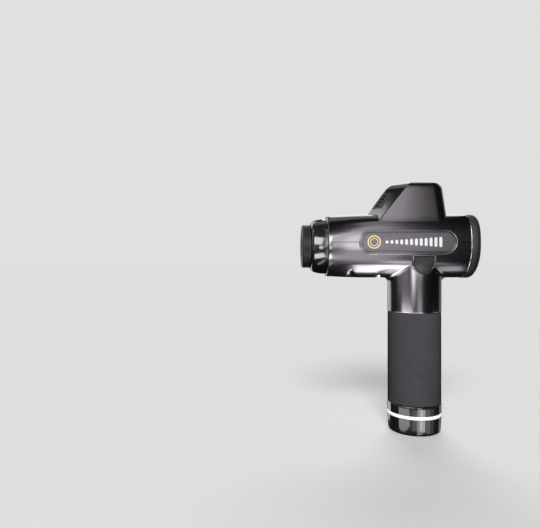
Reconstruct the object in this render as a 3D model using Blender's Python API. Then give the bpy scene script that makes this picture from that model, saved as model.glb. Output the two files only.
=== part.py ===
"""A massage gun standing on the flat end of its handle.

Metres, +Z up the handle, the nose towards -X and the display towards +X. The origin is
the centre of the handle's flat base. The barrel lies along X at BARREL_Z, the motor
stands in the hump above it, and its crank drives the plunger through a connecting rod.
"""

import math

import bmesh
import bpy

# Fits
GAP = 0.0003  # between pieces that touch
SLACK = 0.0006  # round the battery handle, which slides out
SIDES = 24  # round a middling piece
FINE_SIDES = 40  # round the handle and the barrel
SMALL_SIDES = 12  # round a screw or a pin
CUT = 0.005  # how far a cutter runs past the face it opens

# Barrel: round below its axis, squarer above it, and a little slimmer at the nose
BARREL_Z = 0.175
BARREL_HALF_WIDTH = 0.0295
BARREL_HALF_HEIGHT = 0.030
UPPER_SQUARENESS = 3.0
LOWER_SQUARENESS = 2.0
WALL = 0.0026
PARTING_Z = 0.178
NOSE_SEAM_X = -0.0853
REAR_SEAM_X = 0.043
TAPER_START_X = -0.045
NOSE_TAPER = 0.05

# Hump over the motor: flat sides, a ridged front and a round rear
HUMP_SINK_Z = 0.190
HUMP_FOOT_Z = 0.197
HUMP_SHOULDER_Z = 0.228
HUMP_TOP_Z = 0.235
RIDGE_FOOT_X, RIDGE_TOP_X = -0.0509, -0.0298
FRONT_FOOT_X, FRONT_TOP_X = -0.037, -0.014
REAR_FOOT_X, REAR_TOP_X = 0.0265, 0.0238
HUMP_FOOT_HALF, HUMP_TOP_HALF = 0.025, 0.0195
RIDGE_ROUND, FRONT_ROUND, REAR_ROUND = 0.004, 0.0015, 0.012

# Vent panel let into the hump's front
VENT_LOW_Z, VENT_HIGH_Z = 0.2105, 0.2255
VENT_LOW_HALF, VENT_HIGH_HALF = 0.0135, 0.0095
VENT_SLOTS = 4
VENT_SLOT_HEIGHT = 0.0015
VENT_SLOT_HALF = 0.0065

# Side badge, a racetrack that follows the barrel
BADGE_FRONT_X, BADGE_REAR_X = -0.0583, 0.031
BADGE_LOW_Z, BADGE_HIGH_Z = 0.1667, 0.1893
BADGE_RIM = 0.0026
RIM_HEIGHT, FIELD_HEIGHT = 0.0014, 0.0009

# Tongue-shaped plug under each badge
PLUG_X = 0.0014
PLUG_HALF = 0.0104
PLUG_LOW_Z, PLUG_HIGH_Z = 0.1476, 0.1663
PLUG_RIM = 0.0014

# Neck and handle
HANDLE_RADIUS = 0.025
NECK_BORE = 0.0226
NECK_LOW_Z = 0.113
NECK_FILLET = 0.005
SLEEVE_LOW_Z, SLEEVE_HIGH_Z = 0.0273, 0.1126
SLEEVE_RADIUS = 0.0248
SLEEVE_BORE = 0.0233
TUBE_RADIUS = 0.0230
TUBE_BORE = 0.0206
SPIGOT_HIGH_Z = 0.1223
BAND_LOW_Z = 0.0185
LED_LOW_Z = 0.0155
BASE_FLOOR = 0.003
BASE_ROUND = 0.0025
BASE_FOOT_RADIUS = 0.0242

# Nose
COLLAR_RADIUS = 0.0262
COLLAR_FRONT_RADIUS = 0.0215
COLLAR_BORE = 0.014
COLLAR_SPIGOT = 0.0248
COLLAR_REAR_X = -0.0790
COLLAR_FRONT_X = -0.0998
RING_RADIUS = 0.0205
RING_BORE = 0.0115
NOSE_TIP_X = -0.1082
RING_CHAMFER = 0.001

# Rear
TRIM_THICKNESS = 0.0010
REAR_FACE_X = 0.053
REAR_ROUND_SIZE = 0.0035
SPIGOT_DRAFT = 0.001
LENS_RADIUS = 0.015
LENS_Z = 0.183
LENS_THICKNESS = 0.0010
BUTTON_PROUD = 0.0006
FLANGE_STEP, FLANGE_THICKNESS = 0.0009, 0.0007
BUTTONS = {  # name: (radius, y, z)
    "power_button": (0.0042, 0.0, 0.1575),
    "minus_button": (0.0036, -0.0125, 0.1605),
    "plus_button": (0.0036, 0.0125, 0.1605),
}

# Boards behind the rear cap
BOARD_THICKNESS = 0.0016
DISPLAY_BOARD_X, DISPLAY_BOARD_RADIUS = 0.0462, 0.020
CONTROL_BOARD_X, BOARD_HALF, BOARD_HEIGHTS = 0.0340, 0.018, (0.160, 0.191)
CHIPS = ((-0.009, 0.168), (0.008, 0.168), (0.0, 0.182))
CHIP_HALF, CHIP_HEIGHT = 0.0045, 0.0022

# Drive
STROKE = 0.012
CRANK_RADIUS = STROKE / 2
WRIST_X = -0.045
PLUNGER_RADIUS = 0.009
PLUNGER_FRONT_X = -0.101
PLUNGER_REAR_X = -0.038
SOCKET_RADIUS = 0.00605
SOCKET_DEPTH = 0.025
RING_GROOVE_X = -0.0970
RING_GROOVE_WIDTH = 0.0020
RING_GROOVE_RADIUS = 0.0076
FORK_DEPTH = 0.0082
WRIST_PIN_HALF = 0.0075
ROD_THICKNESS = 0.006
BIG_END_RADIUS, BIG_END_BORE = 0.009, 0.0073
SMALL_END_RADIUS = 0.006
ROD_WEB_HALF, ROD_WEB_STEP = 0.0036, 0.0008
WRIST_PIN_RADIUS = 0.0025
CRANK_PIN_RADIUS = 0.003
SHAFT_RADIUS = 0.0025
BEARING_RADIUS = 0.0066
WHEEL_LOW_Z, WHEEL_HIGH_Z = 0.184, 0.189
WEIGHT_LOW_Z = 0.182
WHEEL_RADIUS, WEIGHT_RADIUS, WEIGHT_INNER = 0.0145, 0.017, 0.0085
PLATE_LOW_Z, PLATE_HIGH_Z = 0.191, 0.195
CAN_RADIUS, CAN_BORE = 0.0175, 0.0163
CAN_LOW_Z, CAN_HIGH_Z = 0.198, 0.218
CAN_ROOF = 0.0018
CAN_HOLES, CAN_HOLE_RADIUS, CAN_HOLE_REACH = 6, 0.0026, 0.010
STATOR_RADIUS, STATOR_LOW_Z, STATOR_HIGH_Z = 0.0155, 0.2000, 0.214
STATOR_TUBE_WALL, STATOR_CORE_RADIUS = 0.0018, 0.0100
STATOR_TEETH = 12
TOOTH_HALF, TOOTH_TIP_HALF, TOOTH_TIP_RADIUS, TOOTH_STEP = 0.0019, 0.0031, 0.0141, 0.0010
BEARING_HEIGHT = 0.004
UPPER_BEARING_Z = 0.2085
GUIDE_RADIUS, GUIDE_BORE = 0.013, 0.011
GUIDE_FRONT_X, GUIDE_REAR_X = -0.0950, -0.0484
BUSHING_FRONT_X, BUSHING_REAR_X = -0.0945, -0.0620
SEAL_FRONT_X, SEAL_REAR_X = -0.0985, -0.0960
FRAME_HALF, PLATE_HALF = 0.021, 0.0225
RAIL_WIDTH, RAIL_LOW_Z = 0.0035, 0.187
BLOCK_FRONT_X, BLOCK_REAR_X = -0.058, -0.048
BLOCK_LOW_Z = 0.161

# Battery
CELL_RADIUS = 0.0091
CELL_LENGTH = 0.065
CELL_PITCH = 0.0188
CELL_LOW_Z = 0.011
CELL_LAYERS = 2
CELLS_PER_LAYER = 3
PACK_CAP_RADIUS, PACK_CAP_HIGH_Z, PACK_CAP_ROOF = 0.0220, 0.1456, 0.003
CONTACT_CLEARANCE, CONTACT_THICKNESS, CONTACT_BORE = 0.0019, 0.003, 0.006
JACK_X = 0.011
JACK_RADIUS, JACK_BORE = 0.0046, 0.0032
JACK_LOW_Z, JACK_HIGH_Z, JACK_WALL = 0.0005, 0.0086, 0.0012
PACK_BOARD_LOW_Z, PACK_BOARD_HIGH_Z = 0.0090, 0.0104
POLE_RADIUS, POLE_HEIGHT = 0.003, 0.001

# Screws on the underside: (x, distance to the side, height of the head's underside, top of its boss)
SHELL_SCREWS = ((-0.064, 0.017, 0.1522, 0.170), (-0.036, 0.010, 0.1482, 0.163))
SCREW_HEAD_RADIUS, SCREW_HEAD_HEIGHT = 0.0024, 0.0016
SCREW_SHANK_RADIUS, SCREW_LENGTH = 0.0014, 0.010
BOSS_RADIUS = 0.0038

TO_NOSE = (0.0, -math.pi / 2, 0.0)  # turns +Z to -X
TO_REAR = (0.0, math.pi / 2, 0.0)  # turns +Z to +X


# Materials


def finish(name, colour, roughness, metallic=0.0, coat=0.0):
    """A Principled material with one colour."""
    material = bpy.data.materials.new(name)
    material.use_nodes = True
    shader = material.node_tree.nodes["Principled BSDF"]
    shader.inputs["Base Color"].default_value = (*colour, 1.0)
    shader.inputs["Roughness"].default_value = roughness
    shader.inputs["Metallic"].default_value = metallic
    shader.inputs["Coat Weight"].default_value = coat
    return material


def gunmetal():
    return finish("gunmetal_paint", (0.115, 0.105, 0.118), 0.32, 0.7)


def satin_black():
    return finish("satin_black", (0.018, 0.017, 0.019), 0.42)


def gloss_black():
    return finish("gloss_black", (0.010, 0.010, 0.011), 0.12, coat=1.0)


def grip_foam():
    return finish("grip_foam", (0.060, 0.058, 0.062), 0.85)


def led_white():
    return finish("led_white", (0.86, 0.86, 0.90), 0.35)


def silver_trim():
    return finish("silver_trim", (0.72, 0.71, 0.73), 0.22, 1.0)


def dark_rubber():
    return finish("dark_rubber", (0.030, 0.030, 0.031), 0.75)


def machined_steel():
    return finish("machined_steel", (0.52, 0.52, 0.54), 0.28, 1.0)


def machined_aluminium():
    return finish("machined_aluminium", (0.60, 0.60, 0.62), 0.30, 1.0)


def cast_aluminium():
    return finish("cast_aluminium", (0.58, 0.58, 0.60), 0.45, 1.0)


def bronze():
    return finish("bronze", (0.55, 0.38, 0.20), 0.35, 1.0)


def copper_windings():
    return finish("copper_windings", (0.62, 0.30, 0.14), 0.40, 0.9)


def circuit_board():
    return finish("circuit_board", (0.02, 0.13, 0.06), 0.45)


def cell_wrap():
    return finish("cell_wrap", (0.05, 0.16, 0.42), 0.38)


def natural_plastic():
    return finish("natural_plastic", (0.62, 0.60, 0.55), 0.50)


# Mesh making


def add_object(name, mesh, place=(0.0, 0.0, 0.0), turn=(0.0, 0.0, 0.0)):
    """Makes an object of a bmesh, which it frees."""
    bmesh.ops.recalc_face_normals(mesh, faces=mesh.faces)
    data = bpy.data.meshes.new(name)
    mesh.to_mesh(data)
    mesh.free()
    thing = bpy.data.objects.new(name, data)
    bpy.context.scene.collection.objects.link(thing)
    thing.location = place
    thing.rotation_euler = turn
    return thing


def skin(rings, looped=False):
    """Skins rings of equally many points. It caps the two end rings, or joins them if looped."""
    mesh = bmesh.new()
    rows = [[mesh.verts.new(point) for point in ring] for ring in rings]
    pairs = list(zip(rows, rows[1:]))
    if looped:
        pairs.append((rows[-1], rows[0]))
    else:
        for row in (rows[0], rows[-1]):
            if len(row) > 2:
                mesh.faces.new(row)
    for low, high in pairs:
        count = max(len(low), len(high))
        for i in range(count):
            j = (i + 1) % count
            corners = [low[i % len(low)], low[j % len(low)], high[j % len(high)], high[i % len(high)]]
            mesh.faces.new(list(dict.fromkeys(corners)))
    return mesh


def circle(radius, z, sides):
    """A ring of points, or the single point on the axis when the radius is 0."""
    if radius == 0.0:
        return [(0.0, 0.0, z)]
    steps = [2 * math.pi * i / sides for i in range(sides)]
    return [(radius * math.cos(a), radius * math.sin(a), z) for a in steps]


def turned(name, profile, sides=SIDES, bored=False, place=(0.0, 0.0, 0.0), turn=(0.0, 0.0, 0.0)):
    """Turns (radius, height) points about the local Z axis. A bored profile is a closed outline."""
    rings = [circle(radius, z, sides) for radius, z in profile]
    return add_object(name, skin(rings, looped=bored), place, turn)


def washer(name, inner, outer, low, high, sides=SIDES, place=(0.0, 0.0, 0.0), turn=(0.0, 0.0, 0.0)):
    """A plain ring between two heights."""
    profile = [(outer, low), (outer, high), (inner, high), (inner, low)]
    return turned(name, profile, sides, True, place, turn)


def rod_between(name, radius, low, high, sides=SIDES, place=(0.0, 0.0, 0.0), turn=(0.0, 0.0, 0.0)):
    """A plain cylinder between two heights."""
    return turned(name, [(radius, low), (radius, high)], sides, False, place, turn)


def block(name, low, high):
    """A box from its low corner to its high corner."""
    base = [(low[0], low[1]), (high[0], low[1]), (high[0], high[1]), (low[0], high[1])]
    rings = [[(x, y, z) for x, y in base] for z in (low[2], high[2])]
    return add_object(name, skin(rings))


def combine(solid, tool, operation):
    """Joins, cuts or intersects solid with tool, which it removes."""
    modifier = solid.modifiers.new(operation, "BOOLEAN")
    modifier.operation = operation
    modifier.solver = "EXACT"
    modifier.object = tool
    bpy.context.view_layer.update()
    graph = bpy.context.evaluated_depsgraph_get()
    data = bpy.data.meshes.new_from_object(solid.evaluated_get(graph))
    solid.modifiers.clear()
    solid.data = data
    bpy.data.objects.remove(tool)
    mesh = bmesh.new()
    mesh.from_mesh(data)
    bmesh.ops.remove_doubles(mesh, verts=mesh.verts, dist=1e-6)
    bmesh.ops.dissolve_degenerate(mesh, edges=mesh.edges, dist=1e-6)
    mesh.to_mesh(data)
    mesh.free()
    return solid


def join(solid, tool):
    return combine(solid, tool, "UNION")


def cut(solid, tool):
    return combine(solid, tool, "DIFFERENCE")


def keep(solid, tool):
    return combine(solid, tool, "INTERSECT")


def dress(solid, name, material, parent, smooth=True):
    """Names a finished solid, gives it its material and hangs it on its body's empty."""
    solid.name = name
    solid.data.name = name
    solid.data.materials.clear()
    solid.data.materials.append(material)
    if smooth:
        solid.data.shade_smooth()
        solid.data.set_sharp_from_angle(angle=math.radians(35))
    bpy.context.view_layer.update()
    solid.parent = parent
    solid.matrix_parent_inverse = parent.matrix_world.inverted()
    return solid


def body(name, place):
    """The empty that carries one moving body, on its joint's axis."""
    empty = bpy.data.objects.new(name, None)
    empty.empty_display_size = 0.01
    bpy.context.scene.collection.objects.link(empty)
    empty.location = place
    bpy.context.view_layer.update()
    return empty


# Shapes that several pieces share


def mix(low, high, share):
    return low + (high - low) * share


def signed_power(value, power):
    return math.copysign(abs(value) ** power, value)


def barrel_section(x, grow=0.0):
    """The barrel's cross-section at x, with its skin moved out by grow."""
    along = min(max((TAPER_START_X - x) / (TAPER_START_X - NOSE_SEAM_X), 0.0), 1.0)
    slim = 1.0 - NOSE_TAPER * along**2
    half_width = BARREL_HALF_WIDTH * slim + grow
    half_height = BARREL_HALF_HEIGHT * slim + grow
    points = []
    for i in range(FINE_SIDES):
        angle = 2 * math.pi * (i + 0.5) / FINE_SIDES
        power = 2 / (UPPER_SQUARENESS if angle < math.pi else LOWER_SQUARENESS)
        y = half_width * signed_power(math.cos(angle), power)
        z = BARREL_Z + half_height * signed_power(math.sin(angle), power)
        points.append((x, y, z))
    return points


def barrel_solid(name, grow=0.0, front=NOSE_SEAM_X, rear=REAR_SEAM_X):
    """The barrel as a solid from front to rear."""
    xs = sorted([front, rear, TAPER_START_X, TAPER_START_X - 0.016, TAPER_START_X - 0.029])
    return add_object(name, skin([barrel_section(x, grow) for x in xs]))


def saddle_z(y, grow=0.0):
    """The height of the barrel's underside at y."""
    share = min(abs(y) / (BARREL_HALF_WIDTH + grow), 1.0)
    return BARREL_Z - (BARREL_HALF_HEIGHT + grow) * math.sqrt(1.0 - share**2)


def neck_solid(name, grow=0.0):
    """The neck, flared fore and aft where it meets the barrel's underside."""
    radius = HANDLE_RADIUS + grow
    column = circle(radius, NECK_LOW_Z, FINE_SIDES)
    rings = [column]
    fillet_steps = 3
    for step in range(fillet_steps + 1):
        angle = math.pi / 2 * step / fillet_steps
        ring = []
        for x, y, _ in column:
            fillet = NECK_FILLET * (x / radius) ** 2
            stretch = 1.0 + fillet * (1.0 - math.cos(angle)) / radius
            drop = fillet * (1.0 - math.sin(angle))
            ring.append((x * stretch, y * stretch, saddle_z(y * stretch, grow) - drop))
        rings.append(ring)
    rings.append([(x, y, saddle_z(y, grow) + WALL / 2) for x, y, _ in column])
    return add_object(name, skin(rings))


def hump_corners(z):
    """The corners of the hump's plan at height z, each with its rounding and its steps."""
    share = (z - HUMP_FOOT_Z) / (HUMP_SHOULDER_Z - HUMP_FOOT_Z)
    ridge = mix(RIDGE_FOOT_X, RIDGE_TOP_X, share)
    front = mix(FRONT_FOOT_X, FRONT_TOP_X, share)
    rear = mix(REAR_FOOT_X, REAR_TOP_X, share)
    half = mix(HUMP_FOOT_HALF, HUMP_TOP_HALF, share)
    return [
        (ridge, 0.0, RIDGE_ROUND, 4),
        (front, -half, FRONT_ROUND, 2),
        (rear, -half, REAR_ROUND, 6),
        (rear, half, REAR_ROUND, 6),
        (front, half, FRONT_ROUND, 2),
    ]


def inset_corners(corners, inset):
    """Moves every side of a counter-clockwise outline in by inset."""
    moved = []
    count = len(corners)
    for i in range(count):
        before, here, after = corners[i - 1], corners[i], corners[(i + 1) % count]
        first = unit(here[0] - before[0], here[1] - before[1])
        second = unit(after[0] - here[0], after[1] - here[1])
        turn = first[0] * second[1] - first[1] * second[0]
        reach = (1.0 - (first[0] * second[0] + first[1] * second[1])) / turn
        x = here[0] - inset * first[1] - inset * reach * first[0]
        y = here[1] + inset * first[0] - inset * reach * first[1]
        moved.append((x, y, max(here[2] - inset, 0.0008), here[3]))
    return moved


def unit(x, y):
    length = math.hypot(x, y)
    return x / length, y / length


def rounded_outline(corners):
    """The points of an outline whose corners are (x, y, radius, steps)."""
    points = []
    count = len(corners)
    for i, (x, y, radius, steps) in enumerate(corners):
        back = unit(corners[i - 1][0] - x, corners[i - 1][1] - y)
        after = corners[(i + 1) % count]
        ahead = unit(after[0] - x, after[1] - y)
        half_angle = math.acos(back[0] * ahead[0] + back[1] * ahead[1]) / 2
        middle = unit(back[0] + ahead[0], back[1] + ahead[1])
        reach = radius / math.sin(half_angle)
        centre = (x + middle[0] * reach, y + middle[1] * reach)
        touch = radius / math.tan(half_angle)
        start = math.atan2(y + back[1] * touch - centre[1], x + back[0] * touch - centre[0])
        sweep = math.pi - 2 * half_angle
        for step in range(steps + 1):
            angle = start + sweep * step / steps
            points.append((centre[0] + radius * math.cos(angle), centre[1] + radius * math.sin(angle)))
    return points


def hump_ring(z, inset):
    return [(x, y, z) for x, y in rounded_outline(inset_corners(hump_corners(z), inset))]


def hump_solid(name, inset=0.0, sink=HUMP_SINK_Z):
    """The hump from inside the barrel up to its rounded top, with its skin moved in by inset."""
    rings = [hump_ring(sink, inset), hump_ring(HUMP_FOOT_Z, inset)]
    round_size = HUMP_TOP_Z - HUMP_SHOULDER_Z
    steps = 4
    for step in range(steps + 1):
        angle = math.pi / 2 * step / steps
        z = HUMP_SHOULDER_Z + (round_size - inset) * math.sin(angle)
        rings.append(hump_ring(z, inset + (round_size - inset) * (1.0 - math.cos(angle)) * 0.98))
    return add_object(name, skin(rings))


def side_prism(name, outline, side):
    """Stands an outline of (x, z) points on the gun's side, side -1 for the left."""
    near, far = 0.012 * side, 0.040 * side
    return add_object(name, skin([[(x, y, z) for x, z in outline] for y in (near, far)]))


def racetrack(inset=0.0):
    """The badge's outline, with round ends."""
    radius = (BADGE_HIGH_Z - BADGE_LOW_Z) / 2 - inset
    middle_z = (BADGE_HIGH_Z + BADGE_LOW_Z) / 2
    reach = (BADGE_HIGH_Z - BADGE_LOW_Z) / 2
    points = []
    for centre_x, start in ((BADGE_REAR_X - reach, -90), (BADGE_FRONT_X + reach, 90)):
        for step in range(10):
            angle = math.radians(start + 20 * step)
            points.append((centre_x + radius * math.cos(angle), middle_z + radius * math.sin(angle)))
    return points


def tongue(inset=0.0):
    """The plug's outline: straight above and round below."""
    radius = PLUG_HALF - inset
    centre_z = PLUG_LOW_Z + PLUG_HALF
    points = [(PLUG_X + radius, PLUG_HIGH_Z - inset), (PLUG_X - radius, PLUG_HIGH_Z - inset)]
    for step in range(10):
        angle = math.radians(180 + 20 * step)
        points.append((PLUG_X + radius * math.cos(angle), centre_z + radius * math.sin(angle)))
    return points


# Housing


def upper_shell(parent):
    shell = join(barrel_solid("shell"), hump_solid("hump"))
    void = barrel_solid("void", -WALL, NOSE_SEAM_X - 0.01, REAR_SEAM_X + 0.01)
    shell = cut(shell, join(void, hump_solid("hump_void", WALL, HUMP_SINK_Z - 0.002)))
    shell = cut(shell, block("below", (-0.2, -0.1, 0.1), (0.2, 0.1, PARTING_Z + GAP / 2)))
    shell = cut(shell, vent_prism("vent_hole", 0.0))
    return dress(shell, "upper_shell", gunmetal(), parent)


def lower_shell(parent):
    shell = join(barrel_solid("shell"), neck_solid("neck"))
    void = barrel_solid("void", -WALL, NOSE_SEAM_X - 0.01, REAR_SEAM_X + 0.01)
    void = join(void, rod_between("bore", NECK_BORE, NECK_LOW_Z - 0.01, BARREL_Z - 0.01, FINE_SIDES))
    for x, y, _, boss_top in SHELL_SCREWS:
        for side in (-1, 1):
            boss = rod_between("boss", BOSS_RADIUS, 0.13, boss_top, SMALL_SIDES, (x, y * side, 0.0))
            void = cut(void, boss)
    shell = cut(shell, void)
    shell = cut(shell, block("above", (-0.2, -0.1, PARTING_Z - GAP / 2), (0.2, 0.1, 0.3)))
    for x, y, head_z, _ in SHELL_SCREWS:
        for side in (-1, 1):
            head_top = head_z + SCREW_HEAD_HEIGHT + GAP
            hole = [
                (SCREW_HEAD_RADIUS + 2 * GAP, 0.13),
                (SCREW_HEAD_RADIUS + 2 * GAP, head_top),
                (SCREW_SHANK_RADIUS + GAP, head_top),
                (SCREW_SHANK_RADIUS + GAP, 0.1755),
            ]
            shell = cut(shell, turned("hole", hole, SMALL_SIDES, place=(x, y * side, 0.0)))
    return dress(shell, "lower_shell", gunmetal(), parent)


def shell_screws(parent):
    number = 0
    for x, y, head_z, _ in SHELL_SCREWS:
        for side in (-1, 1):
            number += 1
            head_top = head_z + SCREW_HEAD_HEIGHT
            profile = [
                (SCREW_HEAD_RADIUS, head_z),
                (SCREW_HEAD_RADIUS, head_top),
                (SCREW_SHANK_RADIUS, head_top),
                (SCREW_SHANK_RADIUS, head_top + SCREW_LENGTH),
            ]
            screw = turned("screw", profile, SMALL_SIDES, place=(x, y * side, 0.0))
            dress(screw, f"shell_screw_{number}", machined_steel(), parent)


def vent_prism(name, inset):
    """The block of space that the vent panel takes out of the hump's front."""
    low, high = VENT_LOW_Z + inset, VENT_HIGH_Z - inset
    front, rear = -0.060, -0.018
    rings = []
    for x in (front, rear):
        low_half, high_half = VENT_LOW_HALF - inset, VENT_HIGH_HALF - inset
        rings.append([(x, -low_half, low), (x, low_half, low), (x, high_half, high), (x, -high_half, high)])
    return add_object(name, skin(rings))


def vent_panel(parent):
    panel = cut(hump_solid("panel"), hump_solid("void", WALL, HUMP_SINK_Z - 0.002))
    panel = keep(panel, vent_prism("edge", GAP))
    pitch = (VENT_HIGH_Z - VENT_LOW_Z) / (VENT_SLOTS + 1)
    for number in range(VENT_SLOTS):
        z = VENT_LOW_Z + pitch * (number + 1)
        low = (-0.060, -VENT_SLOT_HALF, z - VENT_SLOT_HEIGHT / 2)
        high = (-0.018, VENT_SLOT_HALF, z + VENT_SLOT_HEIGHT / 2)
        panel = cut(panel, block("slot", low, high))
    return dress(panel, "vent_panel", satin_black(), parent)


def side_badge(parent, side):
    badge = keep(barrel_solid("badge", RIM_HEIGHT), side_prism("edge", racetrack(), side))
    badge = cut(badge, barrel_solid("core", GAP))
    field = cut(side_prism("field", racetrack(BADGE_RIM), side), barrel_solid("floor", FIELD_HEIGHT))
    word = "left" if side < 0 else "right"
    return dress(cut(badge, field), f"{word}_badge", gunmetal(), parent)


def neck_plug(parent, side):
    skin_out = join(barrel_solid("out", RIM_HEIGHT), neck_solid("out_neck", RIM_HEIGHT))
    skin_in = join(barrel_solid("in", GAP), neck_solid("in_neck", GAP))
    skin_field = join(barrel_solid("mid", FIELD_HEIGHT), neck_solid("mid_neck", FIELD_HEIGHT))
    plug = cut(keep(skin_out, side_prism("edge", tongue(), side)), skin_in)
    field = cut(side_prism("field", tongue(PLUG_RIM), side), skin_field)
    word = "left" if side < 0 else "right"
    return dress(cut(plug, field), f"{word}_neck_plug", satin_black(), parent)


def nose_collar(parent):
    seam = -NOSE_SEAM_X + GAP
    front = -COLLAR_FRONT_X
    profile = [(COLLAR_BORE, -COLLAR_REAR_X), (COLLAR_SPIGOT, -COLLAR_REAR_X), (COLLAR_SPIGOT, seam)]
    steps = 4
    for step in range(steps + 1):
        angle = math.pi / 2 * step / steps
        radius = COLLAR_FRONT_RADIUS + (COLLAR_RADIUS - COLLAR_FRONT_RADIUS) * math.cos(angle)
        profile.append((radius, seam + (front - seam) * math.sin(angle)))
    profile.append((COLLAR_BORE, front))
    place = (0.0, 0.0, BARREL_Z)
    collar = turned("collar", profile, FINE_SIDES, True, place, TO_NOSE)
    return dress(collar, "nose_collar", gloss_black(), parent)


def nose_ring(parent):
    rear, tip = -COLLAR_FRONT_X + GAP, -NOSE_TIP_X
    profile = [
        (RING_BORE, rear),
        (RING_RADIUS, rear),
        (RING_RADIUS, tip - RING_CHAMFER),
        (RING_RADIUS - RING_CHAMFER, tip),
        (RING_BORE + RING_CHAMFER, tip),
        (RING_BORE, tip - RING_CHAMFER),
    ]
    ring = turned("ring", profile, FINE_SIDES, True, (0.0, 0.0, BARREL_Z), TO_NOSE)
    return dress(ring, "nose_ring", dark_rubber(), parent)


def nose_seal(parent):
    inner, outer = PLUNGER_RADIUS + GAP, COLLAR_BORE - GAP
    place = (0.0, 0.0, BARREL_Z)
    seal = washer("seal", inner, outer, -SEAL_REAR_X, -SEAL_FRONT_X, SIDES, place, TO_NOSE)
    return dress(seal, "nose_seal", dark_rubber(), parent)


def rear_trim_ring(parent):
    low, high = REAR_SEAM_X + GAP, REAR_SEAM_X + GAP + TRIM_THICKNESS
    rings = [
        barrel_section(low, -WALL),
        barrel_section(low, GAP),
        barrel_section(high, GAP),
        barrel_section(high, -WALL),
    ]
    ring = add_object("ring", skin(rings, looped=True))
    return dress(ring, "rear_trim_ring", silver_trim(), parent)


def rear_cap(parent):
    low = REAR_SEAM_X + TRIM_THICKNESS + 2 * GAP
    floor = REAR_FACE_X - WALL
    rings = [barrel_section(floor, -WALL - SPIGOT_DRAFT), barrel_section(low, -WALL), barrel_section(low)]
    steps = 3
    for step in range(steps + 1):
        angle = math.pi / 2 * step / steps
        x = REAR_FACE_X - REAR_ROUND_SIZE * (1.0 - math.sin(angle))
        rings.append(barrel_section(x, -REAR_ROUND_SIZE * (1.0 - math.cos(angle))))
    cap = add_object("cap", skin(rings))
    pocket = rod_between("pocket", LENS_RADIUS + GAP, 0.0, CUT, SIDES, lens_place(), TO_REAR)
    cap = cut(cap, pocket)
    for radius, y, z in BUTTONS.values():
        place = (REAR_FACE_X, y, z)
        cap = cut(cap, rod_between("hole", radius + GAP, -WALL - CUT, CUT, SIDES, place, TO_REAR))
    return dress(cap, "rear_cap", satin_black(), parent)


def lens_place():
    return (REAR_FACE_X - LENS_THICKNESS - GAP, 0.0, LENS_Z)


def display_lens(parent):
    lens = rod_between("lens", LENS_RADIUS, GAP, LENS_THICKNESS, SIDES, lens_place(), TO_REAR)
    return dress(lens, "display_lens", gloss_black(), parent)


def rear_button(name, parent):
    """A push button with a flange behind the cap; its origin is on its own line of travel."""
    radius = BUTTONS[name][0]
    behind = -WALL - GAP
    chamfer = 0.0003
    profile = [
        (radius + FLANGE_STEP, behind - FLANGE_THICKNESS),
        (radius + FLANGE_STEP, behind),
        (radius, behind),
        (radius, BUTTON_PROUD - chamfer),
        (radius - chamfer, BUTTON_PROUD),
    ]
    button = turned("button", profile, SIDES, place=(REAR_FACE_X, *BUTTONS[name][1:]), turn=TO_REAR)
    return dress(button, name, dark_rubber(), parent)


def display_board(parent):
    rear = DISPLAY_BOARD_X + BOARD_THICKNESS
    place = (0.0, 0.0, BARREL_Z)
    board = rod_between("board", DISPLAY_BOARD_RADIUS, DISPLAY_BOARD_X, rear, SIDES, place, TO_REAR)
    return dress(board, "display_board", circuit_board(), parent)


def control_board(parent):
    low_z, high_z = BOARD_HEIGHTS
    rear = CONTROL_BOARD_X + BOARD_THICKNESS
    board = block("board", (CONTROL_BOARD_X, -BOARD_HALF, low_z), (rear, BOARD_HALF, high_z))
    for y, z in CHIPS:
        low = (rear - CHIP_HEIGHT / 2, y - CHIP_HALF, z - CHIP_HALF)
        high = (rear + CHIP_HEIGHT, y + CHIP_HALF, z + CHIP_HALF)
        board = join(board, block("chip", low, high))
    return dress(board, "control_board", circuit_board(), parent, smooth=False)


def contact_block(parent):
    low, high = PACK_CAP_HIGH_Z + CONTACT_CLEARANCE, PACK_CAP_HIGH_Z + CONTACT_CLEARANCE + CONTACT_THICKNESS
    ring = washer("block", CONTACT_BORE, NECK_BORE - GAP, low, high, FINE_SIDES)
    return dress(ring, "neck_contact_block", natural_plastic(), parent)


# Motor and drive


def drive_frame(parent):
    """The casting that holds the motor above the crank and the guide in front of it."""
    low, high = (-PLATE_HALF, -FRAME_HALF, PLATE_LOW_Z), (PLATE_HALF, FRAME_HALF, PLATE_HIGH_Z)
    frame = block("frame", low, high)
    rail_front, rail_rear = BLOCK_REAR_X - 0.002, 0.002 - PLATE_HALF
    for side in (-1, 1):
        near, far = sorted((side * (FRAME_HALF - RAIL_WIDTH), side * FRAME_HALF))
        low, high = (rail_front, near, RAIL_LOW_Z), (rail_rear, far, PLATE_HIGH_Z - 0.0004)
        frame = join(frame, block("rail", low, high))
    half = FRAME_HALF - 0.0005
    low, high = (BLOCK_FRONT_X, -half, BLOCK_LOW_Z), (BLOCK_REAR_X, half, PLATE_HIGH_Z - 0.001)
    frame = join(frame, block("front", low, high))
    place = (0.0, 0.0, BARREL_Z)
    bore_ends = (-BLOCK_REAR_X - CUT, -BLOCK_FRONT_X + CUT)
    frame = cut(frame, rod_between("bore", GUIDE_RADIUS + GAP, *bore_ends, SIDES, place, TO_NOSE))
    frame = cut(frame, rod_between("seat", BEARING_RADIUS + GAP, PLATE_LOW_Z - CUT, PLATE_HIGH_Z + CUT))
    return dress(frame, "drive_frame", cast_aluminium(), parent)


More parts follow.
